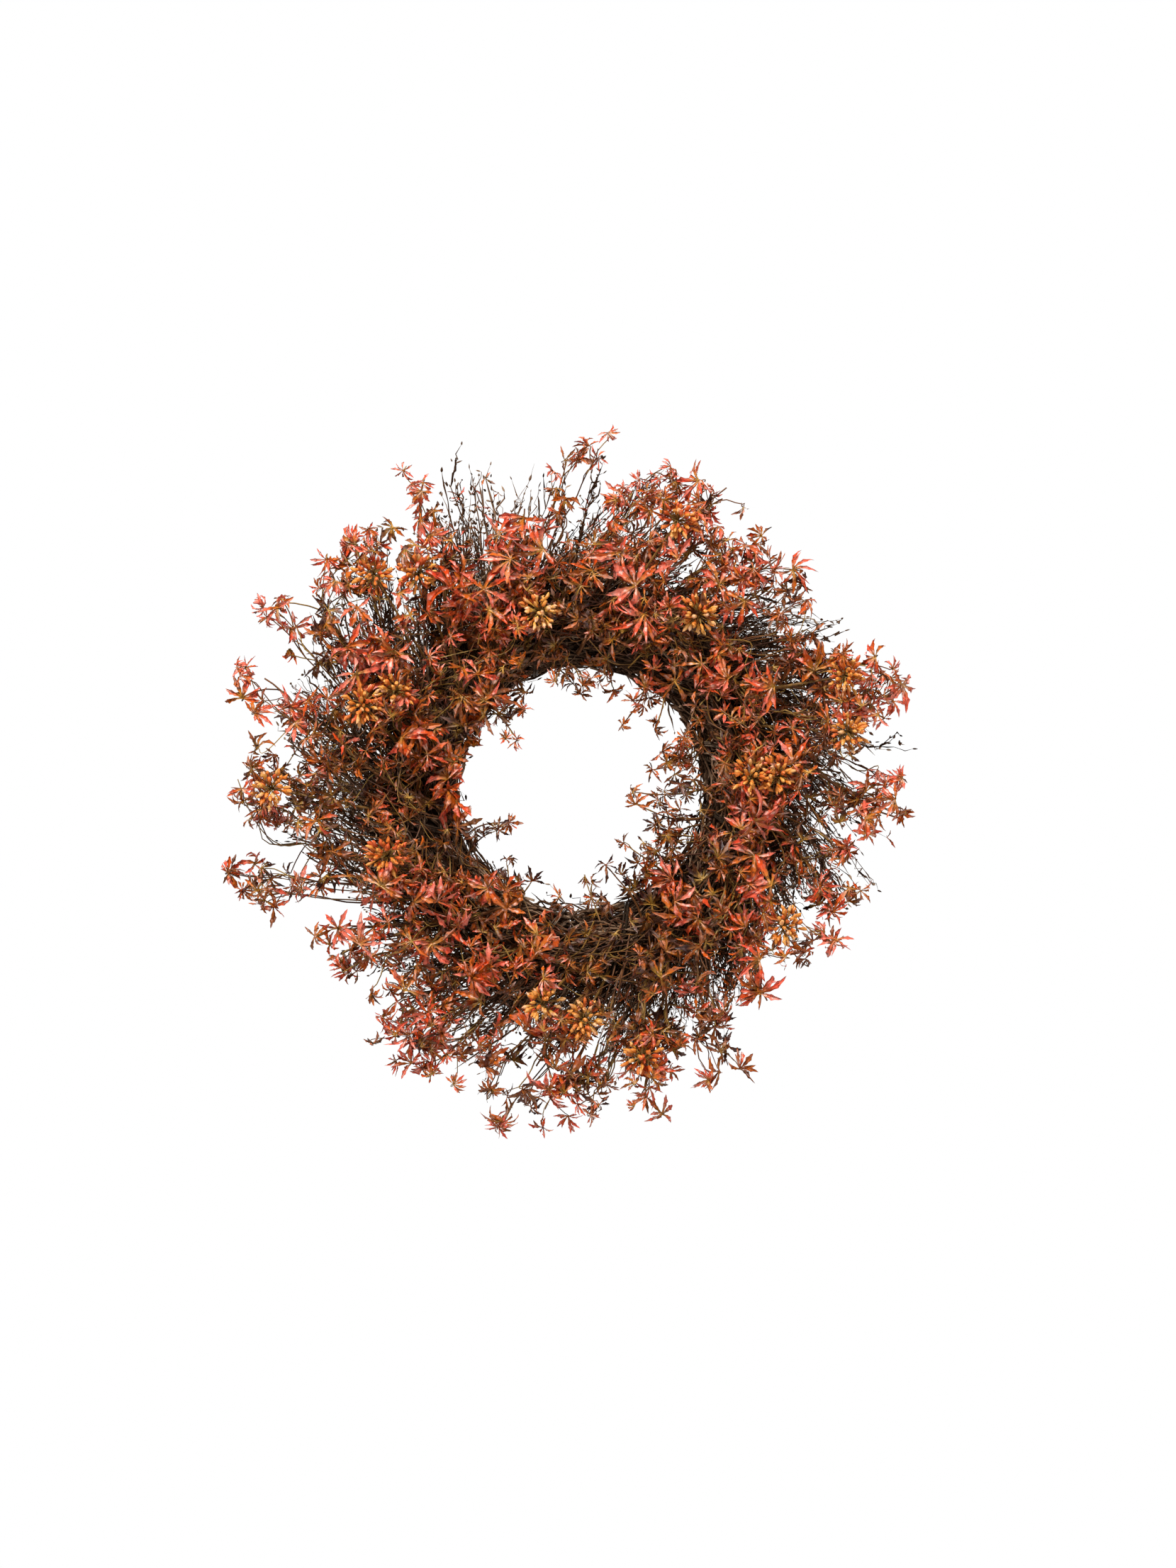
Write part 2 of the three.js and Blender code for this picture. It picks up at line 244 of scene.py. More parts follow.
# ---- Materials ----


class Graph:
    """A material's node tree, with short calls for the nodes used here."""

    def __init__(self, name, metallic=0.0, specular=0.5):
        self.material = bpy.data.materials.new(name)
        self.material.use_nodes = True
        self.tree = self.material.node_tree
        self.shader = self.tree.nodes["Principled BSDF"]
        self.shader.inputs["Metallic"].default_value = metallic
        self.shader.inputs["Specular IOR Level"].default_value = specular

    def put(self, value, socket):
        """Links an output to a socket, or sets the socket to a value."""
        if isinstance(value, bpy.types.NodeSocket):
            self.tree.links.new(value, socket)
        elif isinstance(value, tuple):
            socket.default_value = (*value, 1)
        else:
            socket.default_value = value

    def node(self, kind):
        return self.tree.nodes.new(f"ShaderNode{kind}")

    def look(self):
        """The along, across, tint and shade of the piece's points."""
        attribute = self.node("Attribute")
        attribute.attribute_name = "look"
        split = self.node("SeparateColor")
        self.put(attribute.outputs["Color"], split.inputs["Color"])
        along, across, tint = split.outputs
        return SimpleNamespace(along=along, across=across, tint=tint, shade=attribute.outputs["Alpha"])

    def noise(self, scale, detail=4.0):
        """Noise over the object, at a scale in cycles per metre."""
        place = self.node("TexCoord")
        noise = self.node("TexNoise")
        noise.inputs["Scale"].default_value = scale
        noise.inputs["Detail"].default_value = detail
        self.put(place.outputs["Object"], noise.inputs["Vector"])
        return noise.outputs["Fac"]

    def ramp(self, value, *stops):
        """A colour for a value, from (position, colour) stops."""
        ramp = self.node("ValToRGB")
        elements = ramp.color_ramp.elements
        while len(elements) < len(stops):
            elements.new(1)
        for element, (position, colour) in zip(elements, stops):
            element.position = position
            element.color = (*colour, 1)
        self.put(value, ramp.inputs["Fac"])
        return ramp.outputs["Color"]

    def mix(self, share, low, high):
        """A blend of two colours."""
        mix = self.node("Mix")
        mix.data_type = "RGBA"
        factor, a, b = (s for s in mix.inputs if s.enabled)
        self.put(share, factor)
        self.put(low, a)
        self.put(high, b)
        return next(s for s in mix.outputs if s.enabled)

    def patches(self, ground, colour, scale, low, high, share, detail=4.0):
        """Patches of a colour over the ground, from where noise passes low to where it passes high."""
        return self.mix(self.grade(self.noise(scale, detail), low, high, share), ground, colour)

    def math(self, operation, a, b):
        """A sum or a product of two values, clamped between 0 and 1."""
        node = self.node("Math")
        node.operation = operation
        node.use_clamp = True
        self.put(a, node.inputs[0])
        self.put(b, node.inputs[1])
        return node.outputs[0]

    def grade(self, value, low, high, top=1.0, base=0.0):
        """Rises from base to top as a value goes from low to high."""
        node = self.node("MapRange")
        self.put(value, node.inputs["Value"])
        node.inputs["From Min"].default_value = low
        node.inputs["From Max"].default_value = high
        node.inputs["To Min"].default_value = base
        node.inputs["To Max"].default_value = top
        return node.outputs["Result"]

    def bump(self, height, depth):
        """Raises the surface by up to a depth in metres where the height is 1."""
        bump = self.node("Bump")
        bump.inputs["Distance"].default_value = depth
        self.put(height, bump.inputs["Height"])
        self.put(bump.outputs["Normal"], self.shader.inputs["Normal"])

    def roughen(self, scale, low, high):
        """Roughness from low to high with noise."""
        self.put(self.grade(self.noise(scale), 0, 1, high, low), self.shader.inputs["Roughness"])

    def finish(self, colour):
        self.put(colour, self.shader.inputs["Base Color"])
        return self.material


def wire_material(name, dark, light, metallic):
    g = Graph(name, metallic=metallic)
    wear = g.noise(260)
    g.bump(g.noise(900), 0.0001)
    g.roughen(400, 0.3, 0.6)
    return g.finish(g.ramp(wear, (0.3, dark), (0.62, light), (0.75, dark)))


def twig_material():
    """Bark from near black to pale grey brown, mottled darker, with patches of lichen."""
    g = Graph("twig_bark", specular=0.12)
    bark = g.ramp(
        g.look().tint, (0.0, (0.018, 0.007, 0.003)), (0.3, (0.054, 0.022, 0.009)),
        (0.55, (0.118, 0.060, 0.030)), (0.8, (0.25, 0.145, 0.085)), (1.0, (0.50, 0.34, 0.22)),
    )
    mottled = g.patches(bark, (0.022, 0.009, 0.004), 420, 0.5, 0.72, 0.7, detail=5)
    g.bump(g.noise(1600, detail=2), 0.0002)
    g.roughen(500, 0.5, 0.9)
    lichen = (0.36, 0.24, 0.15)
    return g.finish(g.patches(mottled, lichen, 170, 0.58, 0.66, 0.35))


def stem_material():
    """Stems and stalks from red brown to olive."""
    g = Graph("spray_stem", specular=0.3)
    bark = g.ramp(
        g.look().tint, (0.0, (0.070, 0.022, 0.010)), (0.4, (0.22, 0.080, 0.020)),
        (0.7, (0.28, 0.150, 0.028)), (1.0, (0.46, 0.29, 0.08)),
    )
    g.bump(g.noise(1200), 0.0001)
    g.roughen(400, 0.4, 0.7)
    return g.finish(g.patches(bark, (0.07, 0.030, 0.014), 300, 0.45, 0.7, 0.7))


def leaf_material():
    """Printed cloth: a tinted blade, an orange or olive heart, wine rims and blotches, and pale streaks and
    tips that are partly print and partly painted highlight.
    """
    g = Graph("maple_leaf", specular=0.38)
    look = g.look()
    blade = g.ramp(
        look.tint, (0.0, (0.040, 0.008, 0.004)), (0.15, (0.095, 0.024, 0.006)),
        (0.3, (0.20, 0.064, 0.010)), (0.45, (0.38, 0.080, 0.008)), (0.6, (0.68, 0.150, 0.010)),
        (0.75, (0.76, 0.088, 0.012)), (0.9, (0.87, 0.108, 0.048)), (1.0, (0.91, 0.205, 0.125)),
    )
    heart = g.ramp(
        look.shade, (0.0, (0.20, 0.034, 0.008)), (0.4, (0.56, 0.165, 0.016)), (0.7, (0.46, 0.25, 0.034)),
        (1.0, (0.80, 0.45, 0.10)),
    )
    graded = g.mix(g.grade(look.along, 0.55, 0.08, 0.9), blade, heart)
    wine = g.mix(0.8, graded, (0.024, 0.004, 0.003))
    blotched = g.patches(graded, wine, 290, 0.52, 0.64, 0.85, detail=5)
    rimmed = g.mix(g.grade(look.across, 0.55, 0.95, 0.45), blotched, wine)
    # Pale pinkish streaks beside the rib, more on brighter leaves: partly print, partly painted highlight.
    along_rib = g.grade(look.across, 0.75, 0.15)
    print_and_highlight_streak = g.math("MULTIPLY", along_rib, g.grade(g.noise(210, detail=3), 0.53, 0.63, 0.95))
    lit = g.math("MULTIPLY", print_and_highlight_streak, g.grade(look.tint, 0.1, 0.8))
    with_print_and_highlight_streaks = g.mix(lit, rimmed, (0.98, 0.64, 0.52))
    # Paler pink towards the lobes' tips: partly pale print, partly painted highlight.
    to_tip = g.grade(look.along, 0.35, 1.0)
    pale = g.math("MULTIPLY", to_tip, g.grade(g.noise(95, detail=2), 0.54, 0.70, 0.35))
    g.bump(g.math("ADD", g.noise(1500, detail=3), g.math("MULTIPLY", look.across, 0.5)), 0.0003)
    g.roughen(240, 0.2, 0.45)
    return g.finish(g.mix(pale, with_print_and_highlight_streaks, (0.97, 0.62, 0.52)))


def berry_material():
    """Waxy berries, red orange at the stalk and yellow orange to peach at the tip."""
    g = Graph("berry", specular=0.4)
    look = g.look()
    tip = g.ramp(
        look.tint, (0.0, (0.86, 0.14, 0.035)), (0.35, (0.92, 0.32, 0.05)), (0.7, (0.94, 0.46, 0.12)),
        (1.0, (0.97, 0.54, 0.32)),
    )
    base = g.ramp(
        look.tint, (0.0, (0.46, 0.055, 0.010)), (0.5, (0.70, 0.21, 0.016)), (1.0, (0.76, 0.42, 0.06)),
    )
    skin = g.mix(g.grade(look.along, 0.25, 0.95), base, tip)
    g.bump(g.noise(900), 0.0002)
    g.roughen(300, 0.25, 0.5)
    return g.finish(g.patches(skin, (0.52, 0.10, 0.016), 420, 0.5, 0.68, 0.6))


FRAME_WIRE = wire_material("frame_wire", (0.020, 0.022, 0.018), (0.060, 0.062, 0.050), metallic=0.6)
BINDING_WIRE = wire_material("binding_wire", (0.032, 0.020, 0.012), (0.10, 0.065, 0.04), metallic=0.8)
TWIG = twig_material()
STEM = stem_material()
LEAF = leaf_material()
BERRY = berry_material()


def node_slot(node):
    """The record's material slot of a CAD node."""
    return next(part["material_slot"] for part in frame["record"]["subparts"] if part["node"] == node)


def finish_piece(skin, name, materials, slot, body, *nodes):
    """Makes the piece, in place of CAD nodes, on a body."""
    piece = skin.to_object(name, materials)
    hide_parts(*nodes)
    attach(piece, body)


# ---- The wire frame and its hanger ----

WIRE_LOOK = (0, 0, 0.5, PLAIN_SHADE)
RAIL_RINGS = 180


def wire_skin(path, radii, sides, closed=False):
    """The skin of one bar of wire."""
    skin = Skin()
    skin.add(*tube(path, radii, sides, closed), WIRE_LOOK)
    return skin


def rails():
    """Two closed rings of wire."""
    around = np.arange(RAIL_RINGS) * 360 / RAIL_RINGS
    for node in ("outer_rail", "inner_rail"):
        _, radii, _ = to_polar(node_points(node))
        path = from_polar(around, (radii.min() + radii.max()) / 2, 0)
        skin = wire_skin(path, RAIL_WIRE / 2, sides=12, closed=True)
        finish_piece(skin, f"{node}_wire", [FRAME_WIRE], "rail_wire", "wreath", node)


def cross_ties():
    """Each tie is welded behind both rails, with its ends rounded over."""
    for node in names("cross_tie"):
        angles, radii, forwards = to_polar(node_points(node))
        wire = (forwards.max() - forwards.min()) / 2
        ends = np.linspace(radii.min(), radii.max(), 24)
        path = from_polar(angles.mean(), ends, forwards.mean())
        rounding = np.minimum(1, np.sqrt(np.minimum(ends - ends[0], ends[-1] - ends) / wire + 0.12))
        skin = wire_skin(path, wire * rounding, sides=10)
        finish_piece(skin, f"{node}_wire", [FRAME_WIRE], "rail_wire", "wreath", node)


EYE_CLEARANCE = 0.001
EYE_TURNS = 1.75


def hanger():
    """One wire: a coil round the rail, a leg, over the top, the other leg and another coil."""
    low, high = (np.array(corner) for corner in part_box("hanging_loop"))
    eye_outside = (high[1] - low[1]) / 2
    pivot_height = low[2] + eye_outside
    wire = eye_outside - RAIL_WIRE / 2 - EYE_CLEARANCE
    coil_radius = eye_outside - wire / 2
    half_width = (high[0] - low[0]) / 2 - wire / 2
    spring = high[2] - wire / 2 - half_width
    turns = np.linspace(2 * np.pi * EYE_TURNS, 0, 46)
    coil = np.stack([
        half_width - wire / 2 + wire * 1.02 * turns / (2 * np.pi) - wire * 0.4,
        coil_radius * np.cos(turns),
        pivot_height + coil_radius * np.sin(turns),
    ], axis=-1)
    leg = bend([
        coil[-1],
        (half_width * 0.98, 0.7 * coil_radius, pivot_height + 0.9 * coil_radius),
        (half_width, 0.1 * coil_radius, pivot_height + 2.4 * coil_radius),
        (half_width, 0, spring),
    ], 18)[1:]
    over = np.linspace(0, np.pi / 2, 14)[1:]
    arch = np.stack([half_width * np.cos(over), 0 * over, spring + half_width * np.sin(over)], axis=-1)
    half = np.concatenate([coil, leg, arch])
    path = np.concatenate([half, half[-2::-1] * (-1, 1, 1)])
    skin = wire_skin(path, wire / 2, sides=10)
    finish_piece(skin, "hanging_loop_wire", [FRAME_WIRE], "rail_wire", "hanger", "hanging_loop")


def squared(values):
    """A sine or cosine drawn out towards 1 and -1, which makes a circle into a rounded square."""
    return np.sign(values) * np.sqrt(np.abs(values))


BINDING_RADIUS = 0.0008
BINDING_TURNS = 3
BINDING_SEED = 400
NECK_LEAN = 7  # degrees that the ends of the bundles lean clockwise on the outside


def binding(node):
    """Uneven turns of wire round the twigs and both rails, each a little further round the ring."""
    rng = np.random.default_rng(BINDING_SEED + int(node[-2:]))
    angles, radii, forwards = to_polar(node_points(node))
    turn = np.linspace(0.75, BINDING_TURNS + 0.95, 48 * BINDING_TURNS) * 2 * np.pi
    share = np.linspace(-0.5, 0.5, len(turn))
    uneven = rng.normal(0, 0.2) + 0.25 * np.sin(turn / 2 + rng.uniform(0, 6))
    half_depth = (forwards.max() - forwards.min()) / 2 - BINDING_RADIUS
    half_width = (radii.max() - radii.min()) / 2 - BINDING_RADIUS
    path = from_polar(
        mean_angle(angles) + share * 2.6 + uneven - NECK_LEAN * squared(np.cos(turn)),
        (radii.max() + radii.min()) / 2 + half_width * squared(np.cos(turn)),
        (forwards.max() + forwards.min()) / 2 + half_depth * squared(np.sin(turn)),
    )
    skin = wire_skin(path, BINDING_RADIUS, sides=6)
    finish_piece(skin, f"{node}_turns", [BINDING_WIRE], "binding_wire", "wreath", node)


# ---- Maple leaves ----

STEM_SLOT, LEAF_SLOT = 0, 1
LOBE_RINGS = 9
LOBE_AT = np.linspace(0, 1, LOBE_RINGS)
LOBE_TEETH = (np.arange(LOBE_RINGS) % 2) * ((LOBE_AT > 0.25) & (LOBE_AT < 0.95))
LOBE_HALF_WIDTH = 0.120  # of the lobe's length, at its widest
LEAF_THICKNESS = 0.00042
LOBE_COUNTS = [7, 9, 9, 11]
STALK_RADIUS = 0.0006


def taper(skin, path, thick, thin, tint, sides=4):
    """A stem that tapers along a path."""
    strand(skin, path, np.linspace(thick, thin, len(path)), tint, STEM_SLOT, sides)


def add_leaf(rng, skin, at, pointing, facing, size, tint, heart, count=None):
    """A palmate leaf of toothed lobes, folded along their ribs, cupped, curled, swept and twisted."""
    face = unit(facing)
    axis = unit(pointing - face * (pointing @ face))
    beside = np.cross(axis, face)
    count = count or int(rng.choice(LOBE_COUNTS))
    spread = rng.uniform(90, 142)
    turn = np.radians(np.linspace(-spread, spread, count) + rng.normal(0, 8, count))[:, None]
    length = size * (1.06 - 0.13 * np.abs(turn)) * rng.uniform(0.82, 1.12, (count, 1))
    out = np.sin(turn) * beside + np.cos(turn) * axis
    side = np.cos(turn) * beside - np.sin(turn) * axis
    cup = rng.normal(14, 22) + rng.normal(0, 18, (count, 1))
    tilt = np.radians(cup + LOBE_AT * rng.normal(-58, 50, (count, 1)))
    rise, run = np.sin(tilt), np.cos(tilt)
    step = length / (LOBE_RINGS - 1)
    climbed = step * (np.cumsum(rise, axis=1) - rise)
    gone = step * (np.cumsum(run, axis=1) - run)
    sway = length * (rng.normal(0, 0.20) + rng.normal(0, 0.16, (count, 1))) * LOBE_AT**2
    spine = out[:, None] * gone[..., None] + face * climbed[..., None] + side[:, None] * sway[..., None]
    upward = face * run[..., None] - out[:, None] * rise[..., None]
    twist = np.radians(rng.normal(0, 45, (count, 1)) * LOBE_AT)[..., None]
    wing = side[:, None] * np.cos(twist) + upward * np.sin(twist)
    above = upward * np.cos(twist) - side[:, None] * np.sin(twist)
    waist = rng.uniform(0.25, 0.62)
    widths = [waist, waist, 0.5 + 0.5 * waist, 1, 0.6, 0.03]
    profile = np.interp(LOBE_AT, [0, 0.22, 0.42, 0.62, 0.82, 1], widths)
    slim = rng.uniform(0.72, 1.08)
    half_width = (length * slim * LOBE_HALF_WIDTH * profile * (0.84 + 0.36 * LOBE_TEETH))[..., None]
    fold = rng.uniform(0.2, 1.2)
    thick = above * (LEAF_THICKNESS / 2 * (1.2 - 0.7 * LOBE_AT))[:, None]
    rings = np.stack([
        spine - wing * half_width + above * half_width * fold, spine + thick,
        spine + wing * half_width + above * half_width * fold, spine - thick,
    ], axis=2)
    look = np.zeros((count, LOBE_RINGS, 4, 4))
    look[..., 0] = LOBE_AT[:, None]
    look[:, :, [0, 2], 1] = 1
    look[..., 2] = np.clip(tint + rng.normal(0, 0.15, (count, 1, 1)), 0, 1)
    look[..., 3] = np.clip(heart + rng.normal(0, 0.15, (count, 1, 1)), 0, 1)
    quads = tube_quads(LOBE_RINGS, 4, False) + 4 * LOBE_RINGS * np.arange(count)[:, None, None]
    skin.add(at + rings.reshape(-1, 3), quads.reshape(-1, 4), look.reshape(-1, 4), LEAF_SLOT)


def stalked_leaf(rng, skin, start, start_direction, at, facing, size, tint, heart, stalk=STALK_RADIUS):
    """A leaf at the end of a bent stalk from a stem."""
    length = np.linalg.norm(at - start)
    count = 6 + int(length / 0.008)
    path = bend([start, start + start_direction * 0.4 * length, at - facing * 0.12 * length, at], count)
    path = path + wander(rng, count, 0.05 * length) * np.sin(np.pi * np.linspace(0, 1, count))[:, None]
    taper(skin, path, stalk, 0.0004, rng.uniform(0.1, 0.95))
    pointing = unit(path[-1] - path[-3]) + rng.normal(0, 0.35, 3)
    add_leaf(rng, skin, at, pointing, facing, size, tint, heart)


def toward_front(rng, at, spread):
    """A direction that a leaf faces: the front, a little outwards, and somewhat at random."""
    outward = unit(at - RING) * (1, 0, 1)
    return unit(np.array([0, -1.0, 0]) + outward * rng.uniform(-0.1, 0.5) + rng.normal(0, spread, 3))


# ---- Twig bundles ----

TWIG_RINGS = 14
# The core's tint is near black bark: painted shade deep inside the bound twigs.
CORE_RINGS, CORE_SIDES, CORE_SHADE_TINT = 9, 16, 0.05
BOUND_TWIGS = 150
BOUND_RINGS = 12
FAN_TWIGS = 86
TWIG_SEED = 1
TWIG_TIP = 0.00024
TWIG_DRIFT = 0.0044
ZIGZAG = 0.0009  # how far a twig turns aside at its nodes
TUFT_TWIGS = 8  # of each bundle, that reach as far as the CAD's longest twig, and end near it
BUDS_ON_TWIG = 6
SIDE_TWIG_REACH = 0.038
BOUND_SIDE_TWIG_REACH = 0.026
MOST_WITHERED = 3  # withered leaves on one fan twig
WITHERED_SIZE = (0.006, 0.012)
WITHERED_TINTS = [0.1, 0.3, 0.5, 0.7, 0.9]
BACK_LIMIT = 0.001  # the furthest back that a twig lies, in front of the rails' plane
HANGER_CLEARANCE = 0.010
HANGER_HALF_ROOM = 0.026
HANGER_FOOT = 0.140  # above the ring's centre
# Sectors where most twigs and small leaves end short: from and to an angle, and at what radius.
GAPS = [
    (83, 100, 0.205), (100, 112, 0.225), (112, 128, 0.236), (143, 158, 0.264), (158, 172, 0.266),
    (190, 204, 0.235), (204, 218, 0.214), (218, 233, 0.226), (248, 264, 0.222), (280, 300, 0.258),
    (307, 324, 0.222),
]
GAP_SHARE = 0.88  # of the twigs and leaves that would stand in a gap
TALL_FOOT = 0.150
TALL_SWIRL = 9  # degrees that a stout twig turns clockwise from foot to tip
# The tips of the stout knotted twigs that stand out past the others, by angle and radius.
TALL_TWIGS = [
    (111.5, .302), (113.4, .296), (109.0, .292), (105.7, .290), (115.6, .282), (106.0, .264),
    (110.2, .274), (107.4, .280), (112.4, .284), (118.0, .262), (120.5, .250), (103.0, .248),
    (87.4, .261), (86.3, .285), (93.0, .262), (33.0, .262), (22.0, .268), (8.0, .276),
    (214.0, .255), (232.0, .262),
]
# How far clockwise of outwards the twigs of each bundle point at their tips, in degrees.
TIP_LEANS = [24, 30, 34, 34, 32, 26, 28, 38, 44, 28, 28, 24]


def keep_clear(path):
    """Pushes points forward of the rails' plane, and of the hanging loop where they pass it."""
    beside = np.clip(1.6 - np.abs(path[:, 0]) / HANGER_HALF_ROOM, 0, 1)
    above = np.clip((path[:, 2] - RING[2] - HANGER_FOOT) / HANGER_CLEARANCE, 0, 1)
    limit = BACK_LIMIT + (HANGER_CLEARANCE - BACK_LIMIT) * beside * above
    path[:, 1] = np.minimum(path[:, 1], RING[1] - limit)
    return path


def budded(rng, count, base, tip):
    """Radii of a twig that tapers, with buds here and there."""
    radii = np.linspace(base, tip, count)
    buds = rng.random(count) < 0.34
    radii[buds] += rng.uniform(0.0002, 0.0006, buds.sum())
    radii[-1] = tip * 0.4
    return radii


def bud(rng, skin, at, along, tint):
    """A pointed bud, or a shrivelled leaf, that leans off a twig."""
    lean = unit(unit(along) + rng.normal(0, 0.45, 3))
    length = rng.uniform(0.0018, 0.0050)
    path = at + lean * length * np.array([[-0.2], [0.15], [0.55], [1.0]])
    radii = rng.uniform(0.0005, 0.0012) * np.array([0.3, 1.0, 0.85, 0.12])
    strand(skin, path, radii, np.clip(tint + rng.uniform(-0.1, 0.25), 0, 1))


def side_twigs(rng, skin, path, tint, count, reach):
    """Short side twigs off the outer part of a twig, each with a bud at its tip."""
    along = directions(path)
    for at in rng.uniform(0.3, 0.97, count):
        i = int(at * (len(path) - 1))
        aside = unit(np.cross(along[i], np.cross(rng.normal(0, 1, 3) * (1, 0.7, 1), along[i])))
        lean = math.tan(math.radians(rng.uniform(14, 42)))
        length = reach * rng.uniform(0.35, 1.15) * (1.15 - 0.6 * at)
        t = np.linspace(0, 1, 6)[:, None]
        twig = path[i] + length * (along[i] * t + aside * lean * (t - rng.uniform(0.1, 0.6) * t**2))
        twig = keep_clear(twig + wander(rng, len(t), 0.0036) * t)
        shown = share_near(rng, tint, 0.12)
        strand(skin, twig, budded(rng, len(t), 0.00036, TWIG_TIP), shown)
        bud(rng, skin, twig[-1], twig[-1] - twig[-2], shown)


def fan_path(rng, degrees, start_radius, end_radius, start_forward, end_forward, tip_lean):
    """The polar course of a twig: nearly along the ring at first, then out and clockwise."""
    t = np.linspace(0, 1, TWIG_RINGS)
    radii = start_radius + (end_radius - start_radius) * t**1.25
    lean = np.interp(t, [0, 0.3, 1], [rng.normal(72, 5), rng.normal(50, 6), rng.normal(tip_lean, 6)])
    steps = -np.degrees(np.tan(np.radians(lean[:-1])) * np.diff(radii) / radii[:-1])
    angles = degrees + np.concatenate([[0], np.cumsum(np.clip(steps, -9, 9))])
    return angles, radii, start_forward + (end_forward - start_forward) * t**1.4


def gap_radius(degrees):
    """Where most twigs and small leaves end at an angle."""
    return min((radius for low, high, radius in GAPS if low < degrees % 360 < high), default=math.inf)


def shorten(rng, degrees, radii):
    """The radii along a twig, drawn in where its tip would stand in a gap."""
    limit = gap_radius(degrees)
    if radii[-1] < limit or rng.random() > GAP_SHARE:
        return radii
    end = limit * rng.uniform(0.88, 1.0)
    return radii[0] + (radii - radii[0]) * (end - radii[0]) / (radii[-1] - radii[0])


def withered_leaf(rng, skin, at):
    """A small dry leaf of three narrow lobes, still on its twig."""
    tint = rng.choice(WITHERED_TINTS)
    pointing, facing = unit(rng.normal(0, 1, (2, 3)))
    size = rng.uniform(*WITHERED_SIZE)
    add_leaf(rng, skin, at, pointing, facing, size, tint, rng.uniform(0, 0.6), count=3)


def fan_twig(rng, skin, path, base):
    """A budded twig, as thick as base at its foot, with side twigs, buds and a few withered leaves."""
    t = np.linspace(0, 1, TWIG_RINGS)[:, None]
    drift = wander(rng, TWIG_RINGS, TWIG_DRIFT) * t
    path = keep_clear(path + drift + rng.normal(0, ZIGZAG, (TWIG_RINGS, 3)) * t)
    tint = share_near(rng, 0.54, 0.24)
    strand(skin, path, budded(rng, TWIG_RINGS, base, TWIG_TIP), tint)
    side_twigs(rng, skin, path, tint, rng.integers(5, 10), SIDE_TWIG_REACH)
    along = directions(path)
    for i in rng.integers(3, TWIG_RINGS, BUDS_ON_TWIG):
        bud(rng, skin, path[i], along[i], tint)
    for _ in range(rng.integers(0, MOST_WITHERED + 1)):
        withered_leaf(rng, skin, path[rng.integers(5, TWIG_RINGS)])


def tall_twig(rng, skin, degrees, radius):
    """A stout twig that runs nearly straight outwards, knotted with buds."""
    t = np.linspace(0, 1, TWIG_RINGS)
    radii = TALL_FOOT + (radius - TALL_FOOT) * t
    forwards = NECK_FORWARD + rng.uniform(-0.004, 0.022) * t
    path = from_polar(degrees + TALL_SWIRL * (1 - t) ** 1.2, radii, forwards)
    fan_twig(rng, skin, path, rng.uniform(0.0011, 0.0015))
    for i in rng.integers(TWIG_RINGS // 2, TWIG_RINGS, 2 * BUDS_ON_TWIG):
        bud(rng, skin, path[i], path[i] - path[i - 1], rng.uniform(0, 0.5))


def neck_core(skin, middle):
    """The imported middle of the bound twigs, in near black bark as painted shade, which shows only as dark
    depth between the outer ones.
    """
    t = np.linspace(-0.52, 0.52, CORE_RINGS)[:, None]
    turn = 2 * np.pi * np.arange(CORE_SIDES) / CORE_SIDES
    waist = 0.72 * (1 - 0.10 * np.abs(2 * t) ** 3)
    across = waist * np.cos(turn)
    front = waist * np.sin(turn)
    points = from_polar(
        middle + t * BUNDLE_SPACING - across * NECK_LEAN,
        NECK_RADIUS + across * NECK_HALF_WIDTH,
        NECK_FORWARD + front * NECK_HALF_DEPTH,
    )
    quads = tube_quads(CORE_RINGS, CORE_SIDES, False)[:, ::-1]
    skin.add(points.reshape(-1, 3), quads, (0, 0, CORE_SHADE_TINT, PLAIN_SHADE))


def bound_twig(rng, skin, middle):
    """A twig on the outside of the neck, running clockwise along the ring and a little outwards."""
    t = np.linspace(0, 1, BOUND_RINGS)
    turn = rng.uniform(0, 2 * np.pi)
    swing = turn + rng.normal(0, 0.45) * t
    lift = rng.uniform(0.70, 1.02) + rng.uniform(-0.08, 0.16) * t**2
    path = from_polar(
        middle + rng.uniform(-14, 24) - rng.uniform(14, 40) * t,
        NECK_RADIUS + np.cos(swing) * lift * NECK_HALF_WIDTH + rng.uniform(-0.003, 0.012) * t**2,
        np.maximum(NECK_FORWARD + np.sin(swing) * lift * NECK_HALF_DEPTH, BACK_LIMIT),
    )
    path = keep_clear(path + wander(rng, BOUND_RINGS, TWIG_DRIFT / 2))
    tint = share_near(rng, 0.56, 0.26)
    strand(skin, path, budded(rng, BOUND_RINGS, rng.uniform(0.0005, 0.0012), 0.0004), tint)
    if rng.random() < 0.3:
        side_twigs(rng, skin, path, tint, 2, BOUND_SIDE_TWIG_REACH)


